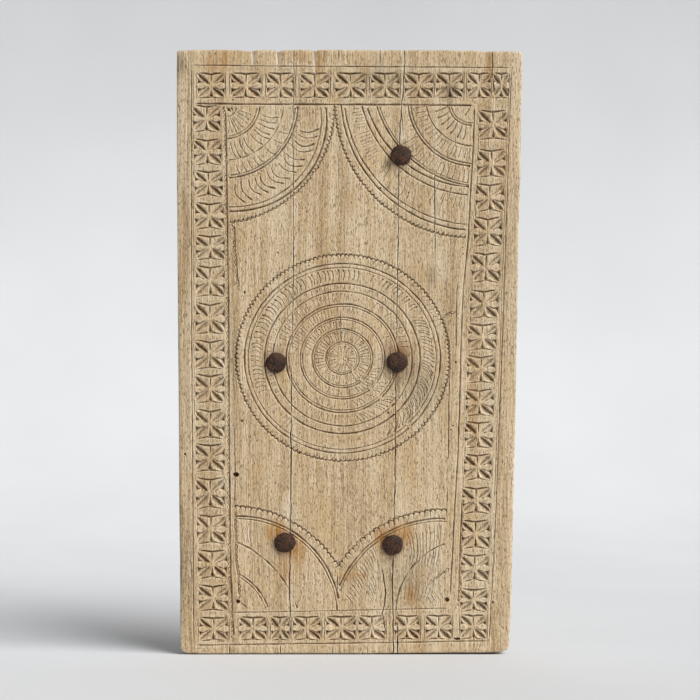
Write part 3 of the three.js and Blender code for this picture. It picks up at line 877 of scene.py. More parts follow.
@dataclass
class RosetteBorder:
    """The squares that run down both sides and along the top and the foot, each with a rosette."""

    left_column: Path = ((67.5, 30.5), (10, 29.5), (8.5, 29.5), (9, 30), (9, 28), (9, 35), (9.5, 35.5),
                         (9.5, 32.5), (8.5, 32.5), (9.5, 33), (8.5, 31), (9.5, 35), (9.5, 32.5),
                         (9.5, 32.5), (9.5, 29.5))
    right_column: Path = ((73.5, 33.5), (13.5, 32), (9, 32), (8.5, 33), (9.5, 34), (11, 32.5), (8, 30),
                          (8.5, 31), (9, 30.5), (8.5, 30), (9, 29.5), (10, 30), (9.5, 32.5), (9, 30.5),
                          (10.5, 25.5))
    top_row: Path = ((24.5, 33), (7.5, 36), (7, 33), (7, 35), (7, 36), (7, 34.5), (6, 34), (3.5, 33),
                     (5, 28), (3, 19))
    foot_row: Path = ((22.5, 34.5), (13, 33.5), (5.5, 21.5), (4, 34), (6, 36), (2.5, 33), (11, 30),
                      (7, 31.5), (10.5, 31))
    height: float = 725
    top_width: float = 415
    left_lean: float = 4.5
    left_sides: tuple[Path, Path] = (
        ((-188.6, 285.0), (-185.0, 130.0), (-185.5, 36.0), (-185.4, -126.0), (-184.7, -190.0),
         (-182.4, -270.0), (-180.8, -330.0)),
        ((-155.3, 285.0), (-149.8, 130.0), (-149.9, 36.0), (-149.9, -190.0), (-146.2, -270.0),
         (-145.0, -330.0)))
    right_sides: tuple[Path, Path] = (
        ((154.9, 270.0), (150.9, 182.0), (146.1, 99.0), (142.0, 20.0), (138.9, -61.0), (137.0, -138.0),
         (134.8, -178.0), (133.4, -264.0), (132.2, -326.0)),
        ((189.4, 270.0), (185.2, 182.0), (180.9, 99.0), (176.8, 20.0), (173.1, -61.0), (170.6, -138.0),
         (169.4, -178.0), (167.0, -264.0), (164.5, -326.0)))
    top_sides: Place = (28, 58)
    foot_sides: tuple[Place, Place] = ((15.5, 18), (43, 47))
    boss: float = 0.09
    chip_depth: float = 3.1
    pit_depth: float = 3.4
    corner_chips: tuple[tuple[int, int, Gouge, float], ...] = (
        (-1, 1, LEFT_SKEW, 1.0), (1, -1, RIGHT_SKEW, 1.0), (1, 1, BROAD_GOUGE, 0.62),
        (-1, -1, BROAD_GOUGE, 0.66))
    corner_profile: Path = ((0, -0.02), (0.16, 0.7), (0.36, 1.0), (0.58, 1.05), (0.8, 0.9), (1, 0.1))
    stems: tuple[Stem, Stem] = (
        Stem(1, (0.38, 0.64, 0.82, 0.95), (-0.02, 0.6, 0.9, 1.1, 0.5), (0.55, 0.72), PARTING_TOOL),
        Stem(-1, (0.36, 0.6, 0.82, 0.99), (-0.02, 0.32, 0.66, 1.1, 0.3), (0.9, 1.1), VEINER))
    head_profile: tuple[float, ...] = (-0.02, 1.5, 2.0, 2.3, 2.0, 1.5, -0.02)
    side_profile: Path = ((-1.0, 0.4), (-0.5, 1.0), (0.0, 0.9), (0.5, 1.0), (1.0, 0.4))
    veins: tuple[float, ...] = (-0.62, -0.4, -0.14, 0.16, 0.42, 0.66)

    @staticmethod
    def _spans(pairs: Path) -> list[Place]:
        """Find where each square of a row begins and ends.

        Args:
            pairs: For each square, the length of the bar before it and its own length.

        Returns:
            The beginning and end of each.
        """
        reached, spans = 0.0, []
        for bar, square in pairs:
            spans.append((reached + bar, reached + bar + square))
            reached += bar + square
        return spans

    def squares(self) -> list[Square]:
        """List the squares of both columns, the top row and the foot row."""
        top, foot = self.height / 2, -self.height / 2
        found = []
        for column, sides in ((self.left_column, self.left_sides), (self.right_column, self.right_sides)):
            left, right = (turned(side) for side in sides)
            for start, end in self._spans(column):
                z = top - (start + end) / 2
                found.append(Square(follow(left, z), follow(right, z), top - end, top - start, True))
        left = -self.top_width / 2
        for start, end in self._spans(self.top_row):
            found.append(Square(left + start, left + end, top - self.top_sides[1], top - self.top_sides[0],
                                False))
        left = -self.top_width / 2 + self.left_lean
        for start, end in self._spans(self.foot_row):
            along = (start + end) / 2 / self.top_width
            low, high = (foot + side[0] + (side[1] - side[0]) * along for side in self.foot_sides)
            found.append(Square(left + start, left + end, low, high, False))
        return found

    def _petals(self, cuts: CutterSet, square: Square, rng: random.Random) -> None:
        """Cut the six chips that leave the petals standing.

        Args:
            cuts: The set that takes them.
            square: The square that the rosette fills.
            rng: Makes each rosette a little different.
        """
        for across, up, gouge, depth in self.corner_chips:
            end = (0.96 + rng.uniform(-0.04, 0.04), 0.95 + rng.uniform(-0.04, 0.04))
            bow = rng.uniform(-0.03, 0.05)
            path = []
            for t, _ in self.corner_profile:
                swell = bow * math.sin(math.pi * t)
                path.append(square.at(across * (self.boss + (end[0] - self.boss) * t + swell),
                                      up * (self.boss + (end[1] - self.boss) * t - swell)))
            size = self.chip_depth * depth * rng.uniform(0.88, 1.08)
            cuts.groove(tuple(path), [part * size for _, part in self.corner_profile], gouge)
        for stem in self.stems:
            lean = rng.uniform(-0.04, 0.04)
            path = tuple(square.at(lean * v, stem.up * v) for v in (self.boss + 0.03,) + stem.places)
            size = self.chip_depth * rng.uniform(*stem.boldness)
            cuts.groove(path, [part * size for part in stem.profile], stem.gouge)

    def _side_pits(self, cuts: CutterSet, square: Square, rng: random.Random) -> None:
        """Cut the small deep pits that point the side petals.

        Args:
            cuts: The set that takes them.
            square: The square that the rosette fills.
            rng: Makes each rosette a little different.
        """
        for across in (-1, 1):
            for up in (-1, 1):
                near, far = 0.13 + rng.uniform(-0.04, 0.04), 0.8 + rng.uniform(-0.08, 0.08)
                corners = (square.at(across * 1.03, up * near), square.at(across * 1.03, up * far),
                           square.at(across * 0.52, up * (near + 0.12)))
                cuts.chip(corners, square.at(across * 0.9, up * (near + 0.19)), self.pit_depth)

    def _fine_cuts(self, cuts: CutterSet, square: Square, rng: random.Random) -> None:
        """Cut the petals' outlines, the scallops at the head and the foot, and a line down each side.

        Args:
            cuts: The set that takes them.
            square: The square that the rosette fills.
            rng: Makes each rosette a little different.
        """
        for across in (-1, 1):
            for up in (-1, 1):
                end = 0.34 * up + rng.uniform(-0.03, 0.03)
                path = (square.at(across * 0.2, up * 0.06), square.at(across * 0.45, end * 0.6),
                        square.at(across * 0.74, end))
                cuts.groove(path, [-0.02, 1.6, 1.6], PARTING_TOOL)
        for up, size, gouge in ((1, 1.0, Gouge(0.8, 1.2)), (-1, 0.8, Gouge(1.2, 0.6))):
            dip, horn = rng.uniform(0.88, 0.94), rng.uniform(1.05, 1.13) if square.column else 0.99
            curve = ((1.02, horn), (0.7, 1 + (horn - 1) * 0.45), (0.34, 0.98))
            path = [square.at(-u, up * v) for u, v in curve]
            path.append(square.at(0, up * dip))
            path += [square.at(u, up * v) for u, v in reversed(curve)]
            cuts.groove(tuple(path), [size * part for part in self.head_profile], gouge)
        depth = 0.5 if square.column else 1.25
        for across in (-1, 1):
            path = tuple(square.at(across * (1.07 + rng.uniform(-0.02, 0.02)), v)
                         for v, _ in self.side_profile)
            cuts.groove(path, [depth * part for _, part in self.side_profile], PARTING_TOOL)

    def _bar_veins(self, cuts: CutterSet, square: Square, rng: random.Random) -> None:
        """Cut short upright veins in the bar above a column's square.

        Args:
            cuts: The set that takes them.
            square: The square under the bar.
            rng: Makes each row a little different.
        """
        for along in self.veins:
            low = 1.14 + 0.14 * abs(along)
            path = tuple(square.at(along + rng.uniform(-0.02, 0.02), low + rise)
                         for rise in (0.0, 0.12, 0.24))
            cuts.groove(path, [-0.02, 0.75, -0.02], SMALL_VEINER)

    def cut_from(self, wood: bpy.types.Object) -> None:
        """Cut every rosette.

        Args:
            wood: The plank, whose mesh is replaced.
        """
        petals, pits, fine = CutterSet("petals"), CutterSet("side pits"), CutterSet("fine cuts")
        rng = random.Random(11)
        for square in self.squares():
            self._petals(petals, square, rng)
            self._side_pits(pits, square, rng)
            self._fine_cuts(fine, square, rng)
            if square.column:
                self._bar_veins(fine, square, rng)
        for cuts in (petals, pits, fine):
            cuts.cut_from(wood)


@dataclass(frozen=True)
class Arc:
    """One ring or part of a ring, by its middle and radius. A double one has a second line inside it."""

    across: float
    up: float
    radius: float
    depth: float = 1.1
    double: float = 0.0
    nicked: bool = False
    unevenness: float = 0.22


@dataclass(frozen=True)
class StrokeBand:
    """A row of fine cuts between two radii.

    Angles are in degrees round from the right, and up is 90. The sweep is how far round the inner
    end lies from the outer one, and the bulge how far the middle is off the straight line.
    """

    inner: float
    outer: float
    start: float
    end: float
    pitch: float
    sweep: float = 0.0
    bulge: float = 0.0
    depth: float = 0.55
    left_out: float = 0.05


@dataclass(frozen=True)
class Comb:
    """A family of fine cuts that pass evenly from a first one to a last one."""

    first: Path
    last: Path
    count: int
    depth: float = 0.5


class Side(Enum):
    """Which arcs a region of the field holds."""

    WHOLE = "whole"
    LEFT_TOP = "left top"
    RIGHT_TOP = "right top"
    LEFT_FOOT = "left foot"
    RIGHT_FOOT = "right foot"


@dataclass
class RingWork:
    """Rings or fans of arcs round one centre, with the fine strokes between them."""

    across: float
    up: float
    side: Side
    arcs: tuple[Arc, ...]
    bands: tuple[StrokeBand, ...] = ()
    combs: tuple[Comb, ...] = ()
    widening: float = 1.0
    boldness: float = 1.6
    seed: int = 1
    nick_pitch: float = 5.4
    tick_reach: Place = (3.0, 4.6)
    top_middle: float = -18.6
    foot_middle: float = -13.0
    foot_right: float = 118.0
    step: float = 4.2

    def _holds(self, x: float, z: float) -> bool:
        """Tell whether a place lies in the part of the field that this work covers.

        Args:
            x: The place across the face.
            z: The place up the face.

        Returns:
            True where it does.
        """
        if self.side is Side.WHOLE:
            return True
        left, right = follow(FIELD_LEFT, z) + 0.4, follow(FIELD_RIGHT, z) - 0.6
        upper = self.side in (Side.LEFT_TOP, Side.RIGHT_TOP)
        middle = self.top_middle if upper else self.foot_middle
        if self.side in (Side.LEFT_TOP, Side.LEFT_FOOT):
            right = middle
        else:
            left = middle + 0.6
            right = min(right, self.foot_right) if self.side is Side.RIGHT_FOOT else right
        level = z < 296.4 if upper else z > -310.5
        return left < x < right and level

    def _at(self, centre: Place, radius: float, degrees: float) -> Place:
        """Find a place about a centre.

        Args:
            centre: The centre.
            radius: How far the place lies from it.
            degrees: Its angle round from the right, where up is 90.

        Returns:
            The place.
        """
        angle = math.radians(degrees)
        return (centre[0] + radius * self.widening * math.cos(angle),
                centre[1] + radius * (2 - self.widening) * math.sin(angle))

    def _runs(self, arc: Arc, radius: float) -> list[Path]:
        """Find the stretches of a circle that lie in the field.

        Args:
            arc: The arc, which gives the middle.
            radius: The circle's radius.

        Returns:
            The places along each stretch.
        """
        count = max(12, round(2 * math.pi * radius / self.step))
        runs, run = [], []
        for i in range(count + 1):
            place = self._at((arc.across, arc.up), radius, 360 * i / count - 45)
            if self._holds(*place):
                run.append(place)
            elif run:
                runs.append(run)
                run = []
        runs.append(run)
        return [tuple(r) for r in runs if len(r) > 2]

    def _nick(self, cuts: CutterSet, ticks: CutterSet, arc: Arc, start: float, end: float,
              rng: random.Random) -> None:
        """Cut one scallop of a ring, and the tick that runs in from its cusp.

        Args:
            cuts: The set that takes the scallop.
            ticks: The set that takes the tick.
            arc: The ring.
            start: The scallop's first angle, in degrees.
            end: Its last angle.
            rng: Makes each one a little different.
        """
        centre = (arc.across, arc.up)
        inset = 0.9 + rng.uniform(-0.25, 0.25)
        places = [self._at(centre, arc.radius - inset, angle) for angle in (end, start)]
        if all(self._holds(*place) for place in places):
            cuts.crescent(places[0], places[1], rng.uniform(1.5, 2.3), rng.uniform(1.5, 2.1))
        reach = rng.uniform(*self.tick_reach)
        path = tuple(self._at(centre, arc.radius - 1.0 - reach * t, start + 0.6 * t)
                     for t in (0, 0.4, 1))
        if all(self._holds(*place) for place in path):
            ticks.groove(path, [1.2, 0.9, -0.03], SMALL_VEINER)

    def cut_arcs(self, cuts: CutterSet, nicks: CutterSet, ticks: CutterSet) -> None:
        """Add the arcs, their scallops and their ticks.

        Args:
            cuts: The set that takes the arcs.
            nicks: The set that takes the scallops.
            ticks: The set that takes the ticks.
        """
        rng = random.Random(self.seed)
        for number, arc in enumerate(self.arcs):
            lines = [(arc.radius, arc.depth * self.boldness * (0.62 if arc.nicked else 1))]
            if arc.double:
                lines.append((arc.radius - arc.double, arc.depth * 0.72 * self.boldness))
            for inner, (radius, depth) in enumerate(lines):
                for run in self._runs(arc, radius):
                    if self.side is Side.WHOLE:
                        run = run[:-1]
                    seed = self.seed + number * 3.7 + inner
                    depths = hand_depths(len(run), depth, seed, 0, arc.unevenness)
                    cuts.groove(run, [max(found, -0.3) for found in depths], VEINER)
            if arc.nicked:
                count = round(2 * math.pi * arc.radius / self.nick_pitch)
                turns = [360 * (i + rng.uniform(-0.1, 0.1)) / count for i in range(count)]
                for start, end in zip(turns, turns[1:] + [turns[0] + 360]):
                    self._nick(nicks, ticks, arc, start, end, rng)

    def _band(self, cuts: CutterSet, band: StrokeBand, rng: random.Random) -> None:
        """Cut one row of fine strokes.

        Args:
            cuts: The set that takes them.
            band: The row.
            rng: Makes each stroke a little different.
        """
        centre = (self.across, self.up)
        count = max(1, round((band.end - band.start) / math.degrees(band.pitch / band.outer)))
        for i in range(count):
            if rng.random() < band.left_out:
                continue
            outer_at = band.start + (band.end - band.start) * (i + rng.uniform(-0.2, 0.2)) / count
            far = band.outer - (band.outer - band.inner) * rng.uniform(0.0, 0.1)
            near = band.inner + (band.outer - band.inner) * rng.uniform(0, 0.1)
            sweep, bulge = band.sweep * rng.uniform(0.8, 1.2), band.bulge * rng.uniform(0.7, 1.3)
            path = tuple(self._at(centre, far + (near - far) * t,
                                  outer_at + sweep * t + bulge * math.sin(math.pi * t))
                         for t in (0, 0.1, 0.3, 0.5, 0.7, 0.9, 1))
            if all(self._holds(*place) for place in path):
                depths = hand_depths(len(path), band.depth * rng.uniform(1.2, 1.6), i + band.inner, 1, 0.12)
                depths[1] *= 1.5
                cuts.groove(path, depths, SMALL_VEINER)

    @staticmethod
    def _comb(cuts: CutterSet, comb: Comb, rng: random.Random) -> None:
        """Cut one family of fine cuts.

        Args:
            cuts: The set that takes them.
            comb: The family.
            rng: Makes each cut a little different.
        """
        for i in range(comb.count):
            t = (i + rng.uniform(-0.16, 0.16)) / max(1, comb.count - 1)
            path = stepped(tuple((a[0] + (b[0] - a[0]) * t, a[1] + (b[1] - a[1]) * t)
                                 for a, b in zip(comb.first, comb.last)), 6.0)
            depth = comb.depth * rng.uniform(1.0, 1.35)
            cuts.groove(path, hand_depths(len(path), depth, i * 1.7, 1, 0.12), SMALL_VEINER)

    def cut_strokes(self, cuts: CutterSet) -> None:
        """Add the fine strokes of every band and comb to a set."""
        rng = random.Random(self.seed + 50)
        for band in self.bands:
            self._band(cuts, band, rng)
        for comb in self.combs:
            self._comb(cuts, comb, rng)


FIELD_LEFT = turned(((-147.6, 296.0), (-146.5, 218.0), (-145.0, 164.0), (-143.5, 98.0), (-142.0, -58.0),
                     (-138.2, -190.0), (-136.8, -240.0), (-133.8, -310.0)))
FIELD_RIGHT = turned(((150.1, 296.0), (148.3, 242.0), (144.7, 182.0), (142.3, 134.0), (136.3, 74.0),
                      (133.9, 14.0), (132.1, -58.0), (130.3, -118.0), (126.7, -178.0), (124.3, -226.0),
                      (120.7, -295.6)))

MEDALLION = RingWork(
    -8.6, -8.1, Side.WHOLE, widening=1.017, boldness=1.35, seed=3,
    arcs=(
        Arc(-8.3, -7.4, 125.9, 1.2, nicked=True), Arc(-8.6, -8.1, 115.7, 1.1), Arc(-8.8, -8.1, 111.0, 0.8),
        Arc(-8.8, -8.3, 91.7, 1.2), Arc(-8.6, -8.3, 82.2, 1.0), Arc(-8.6, -8.0, 66.4, 1.1, 3.0),
        Arc(-8.6, -8.0, 49.9, 1.0, 2.7), Arc(-8.6, -8.0, 35.9, 1.0, 2.5), Arc(-8.6, -8.0, 19.8, 0.9, 2.4),
        Arc(-4.6, -8.8, 2.6, 0.7),
    ),
    bands=(
        StrokeBand(117.5, 123.5, 24, 78, 6.0, 1.0, 0, 0.5, 0.3),
        StrokeBand(117.5, 123.0, 205, 330, 10.0, 1.0, 0, 0.4, 0.45),
        StrokeBand(93.5, 110.0, 80, 116, 6.3, 0.2, -0.9, 0.75, 0.02),
        StrokeBand(93.5, 110.0, 117, 166, 5.9, 0.4, -1.3, 0.75, 0.02),
        StrokeBand(94.0, 109.0, 167, 206, 5.6, 1.0, -1.2, 0.6, 0.05),
        StrokeBand(94.0, 108.0, 208, 236, 6.4, 0.6, -0.6, 0.45, 0.15),
        StrokeBand(97.0, 109.5, 32, 79, 6.0, 0.8, 0.4, 0.7, 0.12),
        StrokeBand(94.0, 109.0, -6, 30, 4.9, 4.2, 0.8, 0.65, 0.04),
        StrokeBand(94.0, 109.5, -62, -8, 4.4, 7.0, 1.8, 0.65, 0.04),
        StrokeBand(84.0, 90.5, 58, 122, 6.0, 0.8, 0, 0.6, 0.1),
        StrokeBand(84.0, 90.0, 148, 214, 4.6, 0, 0, 0.45, 0.15),
        StrokeBand(84.0, 90.0, 232, 300, 6.6, 0, 0, 0.4, 0.25),
        StrokeBand(68.0, 81.0, 88, 164, 4.8, 0.8, 0.3, 0.5, 0.05),
        StrokeBand(68.5, 80.5, 236, 288, 9.5, 0, 0, 0.5, 0.15),
        StrokeBand(68.5, 80.5, -74, -34, 4.8, -5.0, 0.8, 0.6, 0.08),
        StrokeBand(68.5, 80.5, 10, 62, 6.8, 2.0, 0.4, 0.5, 0.15),
        StrokeBand(51.5, 62.5, 102, 170, 4.1, 1.2, 0.2, 0.5, 0.05),
        StrokeBand(51.5, 61.5, 246, 284, 9.0, 0, 0, 0.5, 0.2),
        StrokeBand(51.5, 61.5, -72, -26, 4.6, -5.0, 0.8, 0.6, 0.1),
        StrokeBand(51.5, 62.0, 20, 84, 7.0, 1.0, 0, 0.45, 0.2),
        StrokeBand(37.5, 46.5, 94, 166, 3.9, 1.5, 0.2, 0.65, 0.04),
        StrokeBand(37.5, 46.0, 245, 290, 7.0, 0, 0, 0.45, 0.15),
        StrokeBand(37.5, 46.5, -64, 4, 4.2, -4.0, 0.5, 0.6, 0.08),
        StrokeBand(21.0, 33.0, 84, 204, 4.6, 0.5, 0.6, 0.65, 0.05),
        StrokeBand(21.0, 33.0, -58, 60, 4.4, 0, 0.5, 0.6, 0.08),
        StrokeBand(21.0, 32.5, 206, 300, 6.4, 0, 0, 0.45, 0.2),
        StrokeBand(6.0, 16.5, 0, 360, 5.6, 0, 2.0, 0.6, 0.1),
    ),
    combs=(
        Comb(((58.3, -47.2), (58.3, -57.6), (64.3, -68.8), (75.1, -77.2)),
             ((92.7, -28.0), (90.1, -43.2), (94.9, -55.6), (99.7, -62.6)), 8, 0.55),
        Comb(((45.9, -88.8), (50.9, -98.6), (56.9, -105.0)),
             ((65.1, -74.4), (70.3, -82.0), (76.3, -91.6)), 6),
        Comb(((19.9, -33.2), (25.1, -43.6), (32.9, -51.6)),
             ((38.5, -21.2), (44.7, -30.6), (52.3, -38.2)), 7, 0.4),
    ))

LEFT_TOP_FAN = RingWork(
    -150.5, 297.0, Side.LEFT_TOP, seed=5,
    arcs=(
        Arc(-158.6, 295.0, 140.4, 1.3, nicked=True), Arc(-138.7, 279.5, 111.1, 1.2),
        Arc(-140.1, 280.1, 106.4, 0.8), Arc(-150.9, 297.1, 88.8, 1.2, 3.0),
        Arc(-149.2, 300.1, 70.1, 0.65, unevenness=0.5),
        Arc(-149.8, 297.6, 42.1, 0.9, 3.0), Arc(-149.3, 296.0, 14.4, 0.7),
    ),
    bands=(
        StrokeBand(17.0, 37.5, -84, -10, 7.4, 0, 0.6, 0.6, 0.12),
        StrokeBand(44.0, 69.5, -84, -6, 8.2, -2.4, -1.8, 0.8, 0.08),
        StrokeBand(71.5, 86.0, -82, -8, 7.8, -1.5, -0.7, 0.7, 0.15),
        StrokeBand(89.8, 93.0, -82, -6, 6.0, 0, 0, 0.7, 0.15),
        StrokeBand(92.5, 122.0, -82, -8, 10.8, -4.6, -3.2, 0.9, 0.1),
        StrokeBand(15.0, 41.0, -80, -50, 9.0, 0, 0.4, 0.8, 0.1),
    ))

RIGHT_TOP_FAN = RingWork(
    151.0, 303.0, Side.RIGHT_TOP, seed=8,
    arcs=(
        Arc(147.7, 302.8, 166.0, 1.3, nicked=True), Arc(153.3, 309.7, 164.2, 1.1),
        Arc(152.6, 311.8, 159.6, 0.9), Arc(152.5, 329.9, 142.0, 1.0), Arc(150.7, 332.9, 135.2, 1.1),
        Arc(162.9, 333.7, 135.8, 1.0, 3.0), Arc(149.8, 302.4, 79.7, 1.2, 3.2), Arc(148.1, 303.6, 56.5, 0.9),
        Arc(146.0, 299.5, 27.7, 0.9, 2.9),
    ),
    bands=(
        StrokeBand(31.0, 53.0, 188, 262, 8.6, -3.0, 2.5, 0.9, 0.08),
        StrokeBand(106.0, 130.0, 224, 266, 11.5, 0, 0.5, 0.6, 0.15),
        StrokeBand(8.0, 24.0, 192, 256, 8.0, 0, 2.0, 0.8, 0.1),
        StrokeBand(80.6, 84.4, 186, 268, 5.8, 0, 0, 0.7, 0.15),
        StrokeBand(59.0, 74.0, 184, 268, 6.0, 0, 0, 0.6, 0.08),
        StrokeBand(83.5, 104.0, 212, 268, 7.0, 0, 0.4, 0.6, 0.1),
        StrokeBand(131.0, 148.5, 183, 214, 4.0, 0, 0, 0.45, 0.12),
        StrokeBand(126.0, 147.5, 217, 243, 10.0, -3.0, 1.0, 0.5, 0.2),
        StrokeBand(112.0, 136.0, 246, 268, 12.0, 0.5, 0.5, 0.6, 0.1),
    ))

LEFT_FOOT_FAN = RingWork(
    -137.0, -327.0, Side.LEFT_FOOT, seed=13, nick_pitch=6.8, tick_reach=(8.6, 10.6),
    arcs=(
        Arc(-141.4, -334.8, 149.3, 1.3, nicked=True), Arc(-132.4, -318.7, 121.0, 1.2, 3.2),
        Arc(-186.5, -348.1, 130.0, 0.85, unevenness=0.5),
        Arc(-164.5, -330.2, 70.7, 0.9, 3.0, unevenness=0.4),
    ),
    combs=(
        Comb(((-127.1, -206.2), (-128.3, -215.2), (-127.1, -226.0), (-124.1, -233.2)),
             ((-118.7, -208.8), (-119.9, -218.6), (-118.1, -229.4), (-113.9, -236.6)), 3, 0.7),
        Comb(((-52.0, -250.0), (-49.0, -270.0), (-52.0, -300.0)),
             ((-34.0, -262.0), (-31.0, -280.0), (-33.0, -304.0)),
             3, 0.45),
    ))

RIGHT_FOOT_FAN = RingWork(
    111.0, -337.0, Side.RIGHT_FOOT, seed=21, nick_pitch=6.6, tick_reach=(6.0, 10.0),
    arcs=(
        Arc(113.2, -343.0, 153.4, 1.25, nicked=True), Arc(108.8, -331.9, 131.3, 1.0, 3.2),
        Arc(143.3, -313.8, 87.8, 0.7, unevenness=0.55),
    ),
    combs=(
        Comb(((67.5, -214.0), (72.5, -226.0), (74.4, -240.4), (71.5, -256.2)),
             ((110.5, -203.8), (109.5, -221.2), (107.4, -243.2), (103.1, -262.6)), 10, 0.7),
        Comb(((66.1, -268.4), (67.5, -283.6), (65.3, -300.8)),
             ((98.9, -280.0), (95.3, -289.6), (90.3, -302.0)),
             8, 0.65),
        Comb(((22.1, -229.0), (29.5, -238.6), (33.5, -250.0)),
             ((-6.9, -288.4), (0.7, -296.8), (6.9, -305.6)),
             15, 0.8),
        Comb(((24.9, -262.2), (30.3, -273.6), (33.9, -288.8)),
             ((15.1, -280.0), (23.1, -290.4), (29.1, -303.2)),
             5, 0.65),
        Comb(((91.5, -291.8), (97.7, -300.4), (102.9, -306.8)),
             ((105.1, -284.6), (109.9, -291.8), (113.9, -299.4)),
             4, 0.8),
    ))


@dataclass
class AgeMarks:
    """Cracks along the grain, plugged holes and small pits."""

    check_tool: Gouge = Gouge(0.28, 0.28)
    cracks: tuple[tuple[Path, float], ...] = (
        (((66.1, 366.0), (66.1, 341.6), (64.3, 314.0), (60.7, 268.4), (59.2, 220.4), (58.5, 176.0),
          (58.5, 134.0), (57.1, 62.0), (56.5, 10.4)), 2.8),
        (((55.9, -26.8), (55.4, -48.4), (55.0, -106.0), (55.0, -157.6), (53.7, -188.8), (53.9, -214.6)),
         3.0),
        (((52.5, -240.4), (51.5, -268.0), (51.8, -298.0), (52.3, -319.6), (52.5, -366.0)), 3.8),
        (((37.4, -253.6), (40.3, -268.0), (43.3, -288.4), (42.2, -302.8), (39.8, -313.6), (41.9, -329.2),
          (44.6, -346.0)), 3.2),
        (((-66.5, 366.0), (-67.0, 326.0), (-67.5, 278.0), (-67.3, 194.0), (-67.5, 105.2), (-68.0, 62.0),
          (-68.6, -4.4)), 2.4),
        (((-69.2, -12.2), (-69.7, -44.8), (-70.1, -94.0), (-70.1, -149.2), (-70.7, -209.2), (-71.6, -247.6),
          (-72.1, -274.0), (-71.3, -316.0), (-71.3, -349.0)), 3.4),
        (((101.9, 225.2), (102.2, 182.0), (102.4, 155.6), (103.4, 102.8)), 2.6),
        (((120.7, 147.2), (121.1, 119.6)), 1.6),
        (((171.5, 366.0), (171.3, 335.6), (174.2, 311.6), (172.0, 297.2)), 3.4),
        (((37.1, 366.0), (36.9, 333.2)), 2.2),
        (((-10.9, 58.4), (-10.4, 26.0), (-10.6, -0.4)), 2.2),
        (((-15.4, 256.4), (-13.7, 224.0), (-12.5, 191.6)), 1.2),
        (((-127.5, 292.8), (-127.7, 266.0), (-128.9, 224.0), (-129.4, 176.0)), 1.2),
        (((-143.8, -345.4), (-143.6, -366.0)), 3.4),
        (((-82.4, -349.6), (-82.4, -366.0)), 3.0),
        (((-19.7, -349.6), (-19.7, -366.0)), 2.6),
        (((22.0, -348.4), (22.0, -366.0)), 2.6),
        (((-191.9, -233.2), (-190.1, -262.0), (-187.1, -288.4)), 1.6),
        (((-13.0, 366.0), (-12.8, 342.8)), 2.4),
    )
    late_cracks: tuple[tuple[Path, float], ...] = (
        (((57.8, -309.0), (58.0, -334.0), (57.5, -366.0)), 3.6),
        (((62.6, 296.0), (63.8, 268.4), (65.4, 251.0)), 1.8),
    )
    back_cracks: tuple[tuple[Path, float], ...] = (
        (((66.0, 366.0), (63.0, 250.0), (60.0, 120.0), (59.0, 40.0)), 4.0),
        (((-70.0, -366.0), (-72.0, -250.0), (-69.0, -150.0)), 3.5),
        (((140.0, 366.0), (137.0, 290.0), (138.0, 230.0)), 3.0),
    )
    holes: tuple[tuple[float, float, float, float, float], ...] = (
        (-136.1, -147.7, 8.2, 7.4, 4.5), (-129.3, -82.9, 4.6, 4.6, 1.5), (-197.3, -122.8, 3.0, 4.2, 2.5),
        (-133.7, -299.9, 6.2, 6.0, 4.0), (117.1, -297.5, 6.6, 6.8, 3.2), (129.5, -344.8, 9.0, 3.8, 4.0),
        (172.3, -300.4, 2.6, 3.6, 2.0), (127.6, -12.8, 2.6, 3.0, 2.5), (-125.8, 71.2, 3.0, 3.4, 1.8),
        (134.1, -86.8, 2.0, 2.4, 1.4), (124.3, -88.7, 2.2, 2.0, 1.4), (121.9, -93.5, 2.4, 2.2, 1.4),
        (46.3, -73.1, 2.6, 4.2, 2.0), (-2.3, 273.5, 2.6, 2.4, 1.5), (37.4, 196.7, 2.6, 2.6, 1.6),
        (43.4, 194.5, 3.0, 1.8, 1.2), (-38.9, 72.1, 2.0, 4.0, 1.2), (-48.5, 103.3, 2.4, 2.0, 1.2),
        (71.0, 191.2, 2.2, 3.0, 1.2), (136.3, 134.0, 1.8, 1.8, 1.2), (136.3, 130.4, 1.6, 1.8, 1.2),
        (135.8, 125.6, 1.8, 2.0, 1.2), (136.3, 117.2, 1.8, 2.0, 1.2), (-86.0, 119.0, 2.2, 2.6, 1.4),
    )
    wedges: tuple[tuple[Path, float], ...] = (
        (((-148.6, 294.1), (-145.0, 290.4), (-141.4, 287.2)), 3.6),
        (((-142.7, 295.3), (-141.0, 291.6), (-140.0, 288.2)), 2.2),
    )
    dents: tuple[tuple[Path, float], ...] = (
        (((-71.4, -217.5), (-71.2, -200.0), (-71.0, -182.0), (-70.8, -158.0)), 1.25),
        (((-116.4, 366.0), (-116.7, 358.0), (-116.2, 350.0), (-115.4, 340.0)), 1.3),
        (((-86.6, 366.0), (-87.0, 357.0), (-86.0, 346.0), (-84.6, 334.0)), 1.4),
        (((-42.6, 366.0), (-42.6, 354.0), (-41.6, 342.0), (-42.4, 322.0)), 1.3),
        (((-31.0, 366.0), (-31.6, 352.0), (-30.6, 344.0), (-31.0, 330.0)), 0.9),
        (((-194.6, 366.0), (-194.4, 330.0), (-195.0, 250.0), (-195.6, 120.0)), 0.8),
        (((-3.4, 366.0), (-3.6, 356.0), (-3.0, 349.0), (-3.4, 343.0)), 0.9),
    )
    small_pits: int = 90
    end_of_wood: float = 365.0
    dent_tool: Gouge = Gouge(5.0, 0.8)

